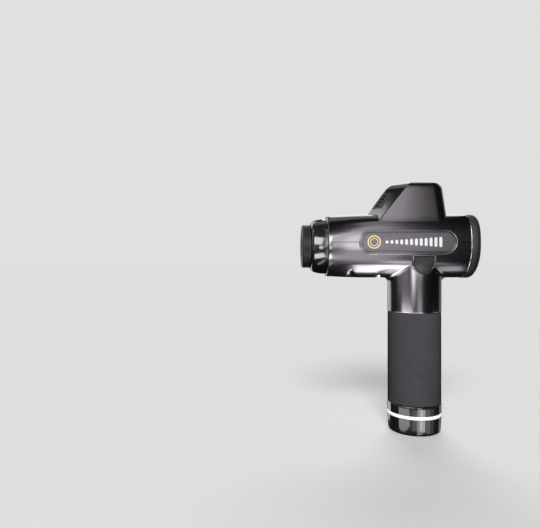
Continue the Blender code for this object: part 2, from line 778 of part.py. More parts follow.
def guide_cylinder(parent):
    place = (0.0, 0.0, BARREL_Z)
    tube = washer("tube", GUIDE_BORE, GUIDE_RADIUS, -GUIDE_REAR_X, -GUIDE_FRONT_X, SIDES, place, TO_NOSE)
    return dress(tube, "guide_cylinder", cast_aluminium(), parent)


def guide_bushing(parent):
    inner, outer = PLUNGER_RADIUS + GAP, GUIDE_BORE - GAP
    place = (0.0, 0.0, BARREL_Z)
    bush = washer("bush", inner, outer, -BUSHING_REAR_X, -BUSHING_FRONT_X, SIDES, place, TO_NOSE)
    return dress(bush, "guide_bushing", bronze(), parent)


def motor_stator(parent):
    """A toothed core on the tube that stands on the frame's plate."""
    inner = BEARING_RADIUS + GAP
    outer = inner + STATOR_TUBE_WALL
    stator = washer("stator", inner, outer, PLATE_HIGH_Z + GAP, STATOR_HIGH_Z)
    core_heights = (STATOR_LOW_Z, STATOR_HIGH_Z - TOOTH_STEP / 2)
    stator = join(stator, washer("core", (inner + outer) / 2, STATOR_CORE_RADIUS, *core_heights))
    for number in range(STATOR_TEETH):
        stator = join(stator, stator_tooth(2 * math.pi * number / STATOR_TEETH))
    return dress(stator, "motor_stator", copper_windings(), parent, smooth=False)


def stator_tooth(angle):
    """A wound tooth with a wide tip, as an outline raised between two heights."""
    outline = [
        (STATOR_CORE_RADIUS - 0.0006, -TOOTH_HALF),
        (TOOTH_TIP_RADIUS, -TOOTH_HALF),
        (TOOTH_TIP_RADIUS, -TOOTH_TIP_HALF),
        (STATOR_RADIUS, -TOOTH_TIP_HALF),
    ]
    outline += [(x, -y) for x, y in reversed(outline)]
    heights = (STATOR_LOW_Z + TOOTH_STEP, STATOR_HIGH_Z - TOOTH_STEP)
    tooth = add_object("tooth", skin([[(x, y, z) for x, y in outline] for z in heights]))
    tooth.rotation_euler = (0.0, 0.0, angle)
    return tooth


def motor_bearings(parent):
    for name, low in (("lower_motor_bearing", PLATE_LOW_Z), ("upper_motor_bearing", UPPER_BEARING_Z)):
        ring = washer("bearing", SHAFT_RADIUS + GAP, BEARING_RADIUS, low, low + BEARING_HEIGHT)
        dress(ring, name, machined_steel(), parent)


def rotor_can(parent):
    ceiling = CAN_HIGH_Z - CAN_ROOF
    profile = [
        (CAN_RADIUS, CAN_LOW_Z),
        (CAN_RADIUS, CAN_HIGH_Z - 0.001),
        (CAN_RADIUS - 0.001, CAN_HIGH_Z),
        (SHAFT_RADIUS + GAP, CAN_HIGH_Z),
        (SHAFT_RADIUS + GAP, ceiling),
        (CAN_BORE, ceiling),
        (CAN_BORE, CAN_LOW_Z),
    ]
    can = turned("can", profile, SIDES, True)
    for number in range(CAN_HOLES):
        angle = 2 * math.pi * number / CAN_HOLES
        place = (CAN_HOLE_REACH * math.cos(angle), CAN_HOLE_REACH * math.sin(angle), 0.0)
        hole = rod_between("hole", CAN_HOLE_RADIUS, ceiling - CUT, CAN_HIGH_Z + CUT, SMALL_SIDES, place)
        can = cut(can, hole)
    return dress(can, "rotor_can", machined_steel(), parent)


def motor_shaft(parent):
    shaft = rod_between("shaft", SHAFT_RADIUS, WEIGHT_LOW_Z + 0.0005, CAN_HIGH_Z + 0.001, SMALL_SIDES)
    return dress(shaft, "motor_shaft", machined_steel(), parent)


def crank_wheel(parent):
    """A disc with a counterweight opposite the crank pin."""
    wheel = rod_between("wheel", WHEEL_RADIUS, WHEEL_LOW_Z, WHEEL_HIGH_Z)
    arc = [math.radians(190 + 10 * step) for step in range(17)]
    outline = [(WEIGHT_RADIUS * math.cos(a), WEIGHT_RADIUS * math.sin(a)) for a in arc]
    outline += [(WEIGHT_INNER * math.cos(a), WEIGHT_INNER * math.sin(a)) for a in reversed(arc)]
    heights = (WEIGHT_LOW_Z, WHEEL_HIGH_Z - 0.0005)
    weight = add_object("weight", skin([[(x, y, z) for x, y in outline] for z in heights]))
    wheel = join(wheel, weight)
    ends = (WEIGHT_LOW_Z - CUT, WHEEL_HIGH_Z + CUT)
    wheel = cut(wheel, rod_between("bore", SHAFT_RADIUS + GAP, *ends, SMALL_SIDES))
    pin_place = (0.0, CRANK_RADIUS, 0.0)
    wheel = cut(wheel, rod_between("pin_bore", CRANK_PIN_RADIUS + GAP, *ends, SMALL_SIDES, pin_place))
    return dress(wheel, "crank_wheel", machined_steel(), parent)


def crank_pin(parent):
    """The pin stops just above the rod, where the linkage is open."""
    low = BARREL_Z + ROD_THICKNESS / 2 + GAP
    pin = rod_between("pin", CRANK_PIN_RADIUS, low, WHEEL_HIGH_Z, SMALL_SIDES, (0.0, CRANK_RADIUS, 0.0))
    return dress(pin, "crank_pin", machined_steel(), parent)


def plunger(parent):
    """The sliding shaft: a socket for heads in front, a fork for the rod behind."""
    front, rear = -PLUNGER_FRONT_X, -PLUNGER_REAR_X
    groove = (-RING_GROOVE_X - RING_GROOVE_WIDTH / 2, -RING_GROOVE_X + RING_GROOVE_WIDTH / 2)
    profile = [
        (0.0, rear),
        (PLUNGER_RADIUS, rear),
        (PLUNGER_RADIUS, front - 0.0008),
        (PLUNGER_RADIUS - 0.0008, front),
        (SOCKET_RADIUS + 0.0006, front),
        (SOCKET_RADIUS, front - 0.0006),
        (SOCKET_RADIUS, groove[1]),
        (RING_GROOVE_RADIUS, groove[1]),
        (RING_GROOVE_RADIUS, groove[0]),
        (SOCKET_RADIUS, groove[0]),
        (SOCKET_RADIUS, front - SOCKET_DEPTH),
        (0.0, front - SOCKET_DEPTH),
    ]
    shaft = turned("shaft", profile, SIDES, place=(0.0, 0.0, BARREL_Z), turn=TO_NOSE)
    half = ROD_THICKNESS / 2 + GAP
    side = PLUNGER_RADIUS + CUT
    low = (WRIST_X - FORK_DEPTH, -side, BARREL_Z - half)
    high = (PLUNGER_REAR_X + CUT, side, BARREL_Z + half)
    shaft = cut(shaft, block("fork", low, high))
    place = (WRIST_X, 0.0, BARREL_Z)
    hole = rod_between("hole", WRIST_PIN_RADIUS + GAP, -side, side, SMALL_SIDES, place)
    return dress(cut(shaft, hole), "plunger", machined_aluminium(), parent)


def socket_ring(parent):
    """The rubber ring that grips a head's stem."""
    low = -RING_GROOVE_X - RING_GROOVE_WIDTH / 2 + GAP
    high = low + RING_GROOVE_WIDTH - 2 * GAP
    inner, outer = SOCKET_RADIUS + 0.0001, RING_GROOVE_RADIUS - GAP
    ring = washer("ring", inner, outer, low, high, SIDES, (0.0, 0.0, BARREL_Z), TO_NOSE)
    return dress(ring, "socket_ring", dark_rubber(), parent)


def wrist_pin(parent):
    place = (WRIST_X, 0.0, BARREL_Z)
    pin = rod_between("pin", WRIST_PIN_RADIUS, -WRIST_PIN_HALF, WRIST_PIN_HALF, SMALL_SIDES, place)
    return dress(pin, "wrist_pin", machined_steel(), parent)


def rod_angle():
    """The rod's angle at mid-stroke, when the crank pin is farthest to the side."""
    return math.atan2(CRANK_RADIUS, -WRIST_X)


def connecting_rod(parent):
    """The rod, made along its own X from the wrist pin and turned to the crank pin."""
    low, high = -ROD_THICKNESS / 2, ROD_THICKNESS / 2
    length = math.hypot(WRIST_X, CRANK_RADIUS)
    rod = rod_between("rod", SMALL_END_RADIUS, low, high, 24)
    rod = join(rod, rod_between("big", BIG_END_RADIUS, low, high, SIDES, (length, 0.0, 0.0)))
    web_low = (SMALL_END_RADIUS / 2, -ROD_WEB_HALF, low + ROD_WEB_STEP)
    web_high = (length - BIG_END_RADIUS / 2, ROD_WEB_HALF, high - ROD_WEB_STEP)
    rod = join(rod, block("web", web_low, web_high))
    rod = cut(rod, rod_between("eye", WRIST_PIN_RADIUS + GAP, low - CUT, high + CUT, SMALL_SIDES))
    rod = cut(rod, rod_between("seat", BIG_END_BORE, low - CUT, high + CUT, SIDES, (length, 0.0, 0.0)))
    rod.location = (WRIST_X, 0.0, BARREL_Z)
    rod.rotation_euler = (0.0, 0.0, rod_angle())
    return dress(rod, "connecting_rod", cast_aluminium(), parent)


def big_end_bearing(parent):
    half = ROD_THICKNESS / 2 - GAP
    place = (0.0, CRANK_RADIUS, BARREL_Z)
    ring = washer("ring", CRANK_PIN_RADIUS + GAP, BIG_END_BORE - GAP, -half, half, SIDES, place)
    return dress(ring, "big_end_bearing", machined_steel(), parent)


# Battery handle


def handle_tube(parent):
    """The pack's tube; its slimmer top goes into the neck."""
    shoulder = SLEEVE_HIGH_Z
    spigot = NECK_BORE - SLACK
    profile = [
        (TUBE_RADIUS, BASE_FLOOR + GAP),
        (TUBE_RADIUS, shoulder),
        (spigot, shoulder),
        (spigot, SPIGOT_HIGH_Z),
        (TUBE_BORE, SPIGOT_HIGH_Z),
        (TUBE_BORE, BASE_FLOOR + GAP),
    ]
    tube = turned("tube", profile, FINE_SIDES, True)
    return dress(tube, "handle_tube", satin_black(), parent)


def grip_sleeve(parent):
    chamfer = 0.0006
    profile = [
        (SLEEVE_RADIUS - chamfer, SLEEVE_LOW_Z),
        (SLEEVE_RADIUS, SLEEVE_LOW_Z + chamfer),
        (SLEEVE_RADIUS, SLEEVE_HIGH_Z - chamfer),
        (SLEEVE_RADIUS - chamfer, SLEEVE_HIGH_Z),
        (SLEEVE_BORE, SLEEVE_HIGH_Z),
        (SLEEVE_BORE, SLEEVE_LOW_Z),
    ]
    return dress(turned("sleeve", profile, FINE_SIDES, True), "grip_sleeve", grip_foam(), parent)


def handle_band(parent):
    band = washer("band", SLEEVE_BORE, HANDLE_RADIUS, BAND_LOW_Z, SLEEVE_LOW_Z - GAP, FINE_SIDES)
    return dress(band, "handle_band", gloss_black(), parent)


def led_ring(parent):
    ring = washer("ring", SLEEVE_BORE, HANDLE_RADIUS, LED_LOW_Z, BAND_LOW_Z - GAP, FINE_SIDES)
    return dress(ring, "led_ring", led_white(), parent)


def base_cap(parent):
    """The cup that closes the handle, with a flat foot and a hole for the charging jack."""
    rim = LED_LOW_Z - GAP
    profile = [(0.0, BASE_FLOOR), (SLEEVE_BORE, BASE_FLOOR), (SLEEVE_BORE, rim), (HANDLE_RADIUS, rim)]
    steps = 3
    for step in range(steps + 1):
        angle = math.pi / 2 * step / steps
        radius = BASE_FOOT_RADIUS - BASE_ROUND * (1.0 - math.cos(angle))
        profile.append((radius, BASE_ROUND * (1.0 - math.sin(angle))))
    profile.append((0.0, 0.0))
    cap = turned("cap", profile, FINE_SIDES)
    ends = (-CUT, BASE_FLOOR + CUT)
    cap = cut(cap, rod_between("hole", JACK_RADIUS + GAP, *ends, SIDES, (JACK_X, 0.0, 0.0)))
    return dress(cap, "base_cap", gloss_black(), parent)


def charging_jack(parent):
    floor = JACK_HIGH_Z - JACK_WALL
    profile = [
        (0.0, JACK_HIGH_Z),
        (JACK_RADIUS, JACK_HIGH_Z),
        (JACK_RADIUS, JACK_LOW_Z),
        (JACK_BORE, JACK_LOW_Z),
        (JACK_BORE, floor),
        (0.0, floor),
    ]
    jack = turned("jack", profile, SIDES, place=(JACK_X, 0.0, 0.0))
    return dress(jack, "charging_jack", satin_black(), parent)


def pack_board(parent):
    board = rod_between("board", TUBE_BORE - GAP, PACK_BOARD_LOW_Z, PACK_BOARD_HIGH_Z)
    return dress(board, "battery_board", circuit_board(), parent)


def battery_cells(parent):
    """Two layers of three round cells, each with its raised pole."""
    ring = CELL_PITCH / math.sqrt(3)
    number = 0
    for layer in range(CELL_LAYERS):
        low = CELL_LOW_Z + layer * (CELL_LENGTH + GAP)
        for place in range(CELLS_PER_LAYER):
            number += 1
            angle = 2 * math.pi * place / CELLS_PER_LAYER
            top = low + CELL_LENGTH
            shoulder = top - POLE_HEIGHT
            profile = [(CELL_RADIUS, low), (CELL_RADIUS, shoulder)]
            profile += [(POLE_RADIUS, shoulder), (POLE_RADIUS, top)]
            at = (ring * math.cos(angle), ring * math.sin(angle), 0.0)
            cell = turned("cell", profile, SIDES, place=at)
            dress(cell, f"battery_cell_{number}", cell_wrap(), parent)


def battery_cap(parent):
    """The cup over the upper cells, which carries the pack's contacts into the neck."""
    low, roof = SPIGOT_HIGH_Z + GAP, PACK_CAP_HIGH_Z - PACK_CAP_ROOF
    chamfer = 0.001
    profile = [
        (0.0, PACK_CAP_HIGH_Z),
        (PACK_CAP_RADIUS - chamfer, PACK_CAP_HIGH_Z),
        (PACK_CAP_RADIUS, PACK_CAP_HIGH_Z - chamfer),
        (PACK_CAP_RADIUS, low),
        (TUBE_BORE, low),
        (TUBE_BORE, roof),
        (0.0, roof),
    ]
    return dress(turned("cap", profile, FINE_SIDES), "battery_cap", natural_plastic(), parent)


def build():
    for thing in list(bpy.data.objects):
        bpy.data.objects.remove(thing)

    housing = body("housing", (0.0, 0.0, 0.0))
    upper_shell(housing)
    lower_shell(housing)
    shell_screws(housing)
    vent_panel(housing)
    for side in (-1, 1):
        side_badge(housing, side)
        neck_plug(housing, side)
    nose_collar(housing)
    nose_ring(housing)
    nose_seal(housing)
    rear_trim_ring(housing)
    rear_cap(housing)
    display_lens(housing)
    display_board(housing)
    control_board(housing)
    contact_block(housing)
    drive_frame(housing)
    guide_cylinder(housing)
    guide_bushing(housing)
    motor_stator(housing)
    motor_bearings(housing)

    crank = body("crank", (0.0, 0.0, BARREL_Z))
    rotor_can(crank)
    motor_shaft(crank)
    crank_wheel(crank)
    crank_pin(crank)

    piston = body("piston", (WRIST_X, 0.0, BARREL_Z))
    plunger(piston)
    socket_ring(piston)
    wrist_pin(piston)

    rod = body("rod", (WRIST_X, 0.0, BARREL_Z))
    connecting_rod(rod)
    big_end_bearing(rod)

    battery = body("battery_handle", (0.0, 0.0, 0.0))
    handle_tube(battery)
    grip_sleeve(battery)
    handle_band(battery)
    led_ring(battery)
    base_cap(battery)
    charging_jack(battery)
    pack_board(battery)
    battery_cells(battery)
    battery_cap(battery)

    for name, (_, y, z) in BUTTONS.items():
        rear_button(name, body(f"{name}_axis", (REAR_FACE_X, y, z)))


build()
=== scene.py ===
"""The looks of the massage gun: fine casings, badges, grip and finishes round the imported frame."""

import math

import bmesh
import bpy
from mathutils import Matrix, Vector


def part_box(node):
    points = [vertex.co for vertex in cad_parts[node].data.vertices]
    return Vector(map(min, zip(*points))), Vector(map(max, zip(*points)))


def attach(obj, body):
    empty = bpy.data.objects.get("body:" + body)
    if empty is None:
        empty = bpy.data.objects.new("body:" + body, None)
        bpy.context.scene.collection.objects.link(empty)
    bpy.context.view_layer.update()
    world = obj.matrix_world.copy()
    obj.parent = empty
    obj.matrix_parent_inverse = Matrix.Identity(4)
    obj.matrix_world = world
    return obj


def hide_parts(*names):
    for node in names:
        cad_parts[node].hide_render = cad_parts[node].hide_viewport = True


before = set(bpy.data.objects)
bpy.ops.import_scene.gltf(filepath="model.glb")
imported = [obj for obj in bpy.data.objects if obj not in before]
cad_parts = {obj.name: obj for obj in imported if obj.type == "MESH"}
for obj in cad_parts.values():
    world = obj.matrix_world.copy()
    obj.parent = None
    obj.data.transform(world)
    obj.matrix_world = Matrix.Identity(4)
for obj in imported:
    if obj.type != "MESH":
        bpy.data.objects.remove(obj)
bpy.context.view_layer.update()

# Driving dimensions, in metres
GAP = 0.0003  # between two pieces
PAST = 0.010  # how far a cutting tool runs past what it cuts
FINE, ROUND, SMALL = 160, 96, 40  # points round a casing, a middling piece and a pin
TO_NOSE = (0.0, -math.pi / 2, 0.0)
TO_REAR = (0.0, math.pi / 2, 0.0)

# Barrel
BARREL_Z = 0.175
BARREL_AXIS = (0.0, 0.0, BARREL_Z)
HALF_WIDTH, HALF_HEIGHT = 0.0295, 0.030
NOSE_SQUARENESS, UPPER_SQUARENESS, LOWER_SQUARENESS = 2.0, 3.0, 2.0
TAPER_START_X, NOSE_TAPER = -0.045, 0.05
WALL = 0.0026
RIMS = (0.0012, 0.0004)  # rounding of the casing's front and rear edges
PARTING_Z, GROOVE = 0.178, 0.0005

# Neck and handle
HANDLE_RADIUS = 0.025
NECK_BORE, NECK_LIP, NECK_FILLET = 0.0226, 0.0009, 0.005
TUBE_RADIUS, TUBE_BORE, SLEEVE_BORE = 0.0230, 0.0206, 0.0233
CONTACT_RINGS, CONTACT_WIDTH = (0.0045, 0.0085, 0.0125), 0.0024

# Hump, with a ridged front, flat sides and a round rear; pairs are at its foot and its shoulder
HUMP_SINK_Z, HUMP_FOOT_Z, HUMP_SHOULDER_Z = 0.190, 0.197, 0.228
RIDGE_XS, FRONT_XS, REAR_XS = (-0.0509, -0.0298), (-0.0402, -0.014), (0.0265, 0.0238)
HUMP_HALVES = (0.025, 0.0195)

# Vent in the hump's front; VENT_HALVES is at its foot and its top
VENT_XS = (-0.060, -0.018)
VENT_HALVES = (0.0135, 0.0095)
VENT_SLOTS, VENT_SLOT_HEIGHT, VENT_SLOT_HALF, VENT_RIB = 4, 0.0015, 0.0075, 0.0022

# Casing screws
SCREWS = 4
HEAD_RADIUS, HEAD_HEIGHT, SHANK_RADIUS = 0.0024, 0.0016, 0.0014
THREADS, THREAD_DEPTH = 12, 0.0003
BOSS_RADIUS = 0.0038

# Badges: a rim, a face with a ring on it, and a scale of bars
FACE_INSET = 0.0025
BADGE_PRINT = (0.00075, 0.00098)  # heights of a print's back and face
BADGE_RING_X = -0.031
BARS, BARS_X, BAR_PITCH, BAR_HALF_WIDTH, BAR_HALF_HEIGHTS = 12, -0.0195, 0.0044, 0.0013, (0.0014, 0.0046)
PLUG_INSET = 0.0013

# Display and keys
PRINT = (-0.0002, 0.00004)  # a print's back and face, from the surface that it lies on
DOTS, DOTS_SPREAD, DOTS_RADIUS, DOT, BIG_DOT = 20, 280, 0.0118, 0.00055, 0.0009
DIAL = (0.0076, 0.0081)
KEY_FLANGE, KEY_SIGN = 0.0009, 0.0003

# Places read from the frame
NOSE_SEAM_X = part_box("lower_shell")[0].x
REAR_SEAM_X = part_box("lower_shell")[1].x
NECK_LOW_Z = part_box("lower_shell")[0].z
HUMP_TOP_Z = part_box("upper_shell")[1].z


def node_centre(name):
    low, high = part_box(name)
    return (low + high) / 2


def screw_places():
    """Each casing screw's x and y, and the height at which its head starts."""
    places = []
    for number in range(1, SCREWS + 1):
        centre = node_centre(f"shell_screw_{number}")
        places.append((centre.x, centre.y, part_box(f"shell_screw_{number}")[0].z))
    return places


def key_places():
    """Each key's radius, y and z, by the sign on it."""
    places = {}
    for sign in ("power", "minus", "plus"):
        centre = node_centre(f"{sign}_button")
        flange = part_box(f"{sign}_button")[1].y - centre.y
        places[sign] = (round(flange - KEY_FLANGE, 4), centre.y, centre.z)
    return places


# Node materials


class Shader:
    """A Principled material being wired up, with its object coordinates."""

    def __init__(self, name, **values):
        self.material = bpy.data.materials.new(name)
        self.material.use_nodes = True
        self.nodes = self.material.node_tree.nodes
        self.links = self.material.node_tree.links
        self.principled = self.nodes["Principled BSDF"]
        for socket, value in values.items():
            self.principled.inputs[socket.replace("_", " ")].default_value = value
        self.coords = self.nodes.new("ShaderNodeTexCoord").outputs["Object"]

    def add(self, kind, inputs=None, **settings):
        node = self.nodes.new(kind)
        for key, value in settings.items():
            setattr(node, key, value)
        for key, value in (inputs or {}).items():
            if isinstance(value, bpy.types.NodeSocket):
                self.links.new(value, node.inputs[key])
            else:
                node.inputs[key].default_value = value
        return node

    def noise(self, scale, detail=3.0, roughness=0.5, stretch=(1.0, 1.0, 1.0)):
        place = self.add("ShaderNodeMapping", {"Vector": self.coords, "Scale": stretch}).outputs[0]
        wanted = {"Vector": place, "Scale": scale, "Detail": detail, "Roughness": roughness}
        return self.add("ShaderNodeTexNoise", wanted).outputs["Fac"]

    def cells(self, scale):
        return self.add("ShaderNodeTexVoronoi", {"Vector": self.coords, "Scale": scale}).outputs["Distance"]

    def span(self, value, low, high, start=0.3, end=0.7):
        """Maps value from start..end to low..high."""
        wanted = {"Value": value, "From Min": start, "From Max": end, "To Min": low, "To Max": high}
        return self.add("ShaderNodeMapRange", wanted).outputs["Result"]

    def blend(self, share, first, second):
        """A colour between two, either of which may be a socket."""
        mixer = self.add("ShaderNodeMix", data_type="RGBA")
        for socket, value in zip((mixer.inputs[0], mixer.inputs[6], mixer.inputs[7]), (share, first, second)):
            if isinstance(value, bpy.types.NodeSocket):
                self.links.new(value, socket)
            else:
                socket.default_value = (*value, 1.0)
        return mixer.outputs[2]

    def tones(self, value, first, second):
        """A colour that goes from one to another as a noise rises."""
        return self.blend(self.span(value, 0.0, 1.0), first, second)

    def bump(self, height, depth, strength=1.0, under=None):
        wanted = {"Height": height, "Distance": depth, "Strength": strength}
        if under is not None:
            wanted["Normal"] = under
        return self.add("ShaderNodeBump", wanted).outputs["Normal"]

    def paint(self, colour, rough, normal):
        """Wires up the colour, the roughness unless it is fixed, and the bump, and gives the material."""
        for name, value in (("Base Color", colour), ("Roughness", rough), ("Normal", normal)):
            if value is not None:
                self.links.new(value, self.principled.inputs[name])
        return self.material


def worn(shader, colour, bright, amount):
    """Lightens convex edges a little, as handling does."""
    point = shader.add("ShaderNodeNewGeometry").outputs["Pointiness"]
    return shader.blend(shader.span(point, 0.0, amount, 0.515, 0.56), colour, bright)


def gunmetal_paint():
    s = Shader("gunmetal_paint", Metallic=1.0, Coat_Weight=0.3, Coat_Roughness=0.06)
    flake = s.noise(5200.0, 2.0)
    colour = s.tones(flake, (0.262, 0.243, 0.266), (0.292, 0.272, 0.297))
    colour = s.blend(s.span(s.noise(30.0, 4.0), 0.0, 0.15), colour, (0.215, 0.200, 0.220))
    colour = worn(s, colour, (0.42, 0.40, 0.43), 0.25)
    return s.paint(colour, s.span(s.noise(90.0, 6.0, 0.6), 0.205, 0.235), s.bump(flake, 0.000002, 0.3))


def mottled(name, noise, dark, light, rough, bump, grain=None, **values):
    """A material that follows one noise, with the relief of another if grain is given."""
    s = Shader(name, **values)
    mottle = s.noise(*noise)
    relief = s.noise(*grain) if grain else mottle
    return s.paint(s.tones(mottle, dark, light), s.span(mottle, *rough), s.bump(relief, *bump))


def satin_black(name="satin_black", shade=0.018, grain=2400.0, depth=0.00003):
    s = Shader(name, Specular_IOR_Level=0.5)
    colour = s.tones(s.noise(70.0), (shade,) * 3, (shade * 1.5, shade * 1.45, shade * 1.55))
    colour = worn(s, colour, (0.06, 0.06, 0.062), 0.3)
    return s.paint(colour, s.span(s.noise(300.0, 4.0), 0.38, 0.50), s.bump(s.noise(grain, 2.0, 0.6), depth))


def gloss_black(name, haze):
    noise, tones = (55.0, 5.0, 0.6, (1.0, 1.0, 0.35)), ((0.010, 0.010, 0.011), (0.016, 0.015, 0.017))
    coat = {"Coat_Weight": 1.0, "Coat_IOR": 1.8, "Coat_Roughness": haze, "Specular_IOR_Level": 0.8}
    return mottled(name, noise, *tones, (0.09, 0.15), (0.00001, 0.1), (120.0, 2.0), **coat)


def grip_foam():
    s = Shader("grip_foam", Specular_IOR_Level=0.0)
    pores = s.cells(1500.0)
    mottle = s.noise(45.0, 5.0, 0.6)
    colour = s.tones(mottle, (0.062, 0.059, 0.065), (0.078, 0.074, 0.082))
    colour = s.blend(s.span(pores, 0.45, 0.0, 0.05, 0.3), colour, (0.028, 0.026, 0.029))
    fine = s.bump(s.noise(3500.0, 2.0), 0.00002, 0.15)
    return s.paint(colour, s.span(mottle, 0.78, 0.90), s.bump(pores, 0.00005, 0.2, fine))


def led_white():
    glow = {"Emission_Color": (0.90, 0.93, 1.0, 1.0), "Emission_Strength": 0.55}
    depth = {"Subsurface_Weight": 0.3, "Subsurface_Scale": 0.002}
    tones = (0.84, 0.85, 0.88), (0.93, 0.94, 0.97)
    return mottled("led_white", (220.0, 3.0), *tones, (0.24, 0.36), (0.00001, 0.3), **glow, **depth)


def brushed(name, colour, bright, rough, stretch):
    """A turned or brushed metal, streaked across the short direction of stretch."""
    s = Shader(name, Metallic=1.0)
    streak = s.noise(1400.0, 3.0, 0.6, stretch)
    mixed = s.tones(streak, colour, bright)
    mixed = s.blend(s.span(s.noise(60.0, 3.0), 0.0, 0.2), mixed, tuple(0.7 * c for c in colour))
    return s.paint(mixed, s.span(streak, rough, rough + 0.12), s.bump(streak, 0.000012, 0.5))


def dark_rubber():
    tones = (0.011, 0.011, 0.012), (0.021, 0.020, 0.022)
    return mottled("dark_rubber", (90.0, 5.0, 0.65), *tones, (0.34, 0.48), (0.00003, 0.5), (1900.0, 3.0))


def cast_aluminium():
    s = Shader("cast_aluminium", Metallic=1.0)
    skin_noise = s.noise(900.0, 4.0, 0.6)
    colour = s.tones(s.noise(80.0), (0.50, 0.50, 0.52), (0.64, 0.64, 0.66))
    return s.paint(colour, s.span(skin_noise, 0.38, 0.58), s.bump(skin_noise, 0.00008, 0.8))


def copper_windings():
    s = Shader("copper_windings", Metallic=0.9)
    wanted = {"Vector": s.coords, "Scale": 420.0, "Distortion": 0.4}
    wire = s.add("ShaderNodeTexWave", wanted, bands_direction="Z").outputs["Fac"]
    colour = s.blend(wire, (0.26, 0.10, 0.04), (0.70, 0.34, 0.16))
    return s.paint(colour, s.span(wire, 0.30, 0.50), s.bump(wire, 0.0002))


def circuit_board():
    s = Shader("circuit_board", Coat_Weight=0.3)
    grid = s.add("ShaderNodeTexBrick", {"Vector": s.coords, "Scale": 260.0, "Mortar Size": 0.06})
    trace = grid.outputs["Fac"]
    colour = s.blend(trace, (0.012, 0.085, 0.038), (0.05, 0.26, 0.12))
    return s.paint(colour, s.span(s.noise(400.0), 0.32, 0.46), s.bump(trace, 0.00004))


def cell_wrap():
    noise, tones = (120.0, 4.0, 0.6, (1.0, 1.0, 0.2)), ((0.030, 0.110, 0.330), (0.060, 0.180, 0.460))
    return mottled("cell_wrap", noise, *tones, (0.25, 0.40), (0.00008, 0.5), Coat_Weight=0.4)


def natural_plastic():
    tones, glow = ((0.56, 0.54, 0.48), (0.68, 0.66, 0.60)), {"Subsurface_Weight": 0.05}
    return mottled("natural_plastic", (110.0, 4.0), *tones, (0.42, 0.56), (0.00003,), (1500.0,), **glow)


def printed(name, colour, rough=0.4, metallic=0.0):
    """A thin print or foil on a badge or a button."""
    faded, haze = tuple(0.946 * c for c in colour), (rough, rough + 0.1)
    return mottled(name, (1800.0, 3.0), colour, faded, haze, (0.00001, 0.4), Metallic=metallic)


def floor_paper():
    """Pale paper that glows a little, which keeps its shadows soft."""
    s = Shader("floor_paper", Roughness=1.0, Specular_IOR_Level=0.0, Emission_Strength=0.21)
    s.principled.inputs["Emission Color"].default_value = (1.0, 0.997, 0.99, 1.0)
    colour = s.tones(s.noise(14.0, 6.0, 0.6), (0.375, 0.374, 0.371), (0.385, 0.384, 0.381))
    return s.paint(colour, None, s.bump(s.noise(500.0, 3.0), 0.0001, 0.2))


FINISHES = {
    "gunmetal_paint": gunmetal_paint(),
    "satin_black": satin_black(),
    "gloss_black": gloss_black("gloss_black", 0.03),
    "grip_foam": grip_foam(),
    "led_white": led_white(),
    "silver_trim": brushed("silver_trim", (0.66, 0.65, 0.67), (0.80, 0.79, 0.81), 0.16, (0.15, 1.0, 1.0)),
    "dark_rubber": dark_rubber(),
    "machined_steel": brushed(
        "machined_steel", (0.46, 0.46, 0.48), (0.60, 0.60, 0.62), 0.20, (1.0, 1.0, 0.08)
    ),
    "machined_aluminium": brushed(
        "machined_aluminium", (0.56, 0.56, 0.58), (0.68, 0.68, 0.70), 0.22, (0.08, 1.0, 1.0)
    ),
    "cast_aluminium": cast_aluminium(),
    "bronze": brushed("bronze", (0.50, 0.33, 0.17), (0.62, 0.43, 0.24), 0.30, (0.1, 1.0, 1.0)),
    "copper_windings": copper_windings(),
    "circuit_board": circuit_board(),
    "cell_wrap": cell_wrap(),
    "natural_plastic": natural_plastic(),
}
WHITE_PRINT = printed("white_print", (0.86, 0.86, 0.88))
GOLD_PRINT = printed("gold_print", (0.80, 0.62, 0.30), 0.3, 0.6)
BADGE_GRAIN = mottled(
    "badge_grain",
    (1500.0, 3.0, 0.7),
    (0.105, 0.098, 0.108),
    (0.215, 0.200, 0.220),
    (0.34, 0.46),
    (0.00002, 0.5),
    Metallic=0.9,
)
COWL_LACQUER = gloss_black("cowl_lacquer", 0.16)
PLUG_TEXTURE = satin_black("plug_texture", 0.034, 900.0, 0.00016)


# Mesh making


def mix(low, high, share):
    return low + (high - low) * share


def quarter(steps):
    """The angles of a quarter circle, in equal steps."""
    return [math.pi / 2 * step / steps for step in range(steps + 1)]


def rounding(radius, steps):
    """Points along a rounded edge, each as how far it is from the edge's end and from its side."""
    return [(radius * (1.0 - math.sin(a)), radius * (1.0 - math.cos(a))) for a in quarter(steps)]


def bead(start, width, base, top, steps=8):
    """A half-round rib in (inset, height) points."""
    angles = [math.pi * step / steps for step in range(steps + 1)]
    middle = start + width / 2
    return [(middle - width / 2 * math.cos(a), base + (top - base) * math.sin(a)) for a in angles]


def run(start, end, count):
    return [(mix(start[0], end[0], i / count), mix(start[1], end[1], i / count)) for i in range(count)]


def arc(centre, radius, first, last, steps):
    angles = [math.radians(mix(first, last, i / steps)) for i in range(steps)]
    return [(centre[0] + radius * math.cos(a), centre[1] + radius * math.sin(a)) for a in angles]


def circle(radius, z, sides):
    if radius == 0.0:
        return [(0.0, 0.0, z)]
    steps = [2 * math.pi * i / sides for i in range(sides)]
    return [(radius * math.cos(a), radius * math.sin(a), z) for a in steps]


def new_object(name, mesh, place=(0.0, 0.0, 0.0), turn=(0.0, 0.0, 0.0)):
    """Makes an object of a bmesh, which it frees."""
    bmesh.ops.recalc_face_normals(mesh, faces=mesh.faces)
    data = bpy.data.meshes.new(name)
    mesh.to_mesh(data)
    mesh.free()
    thing = bpy.data.objects.new(name, data)
    bpy.context.scene.collection.objects.link(thing)
    thing.location = place
    thing.rotation_euler = turn
    return thing


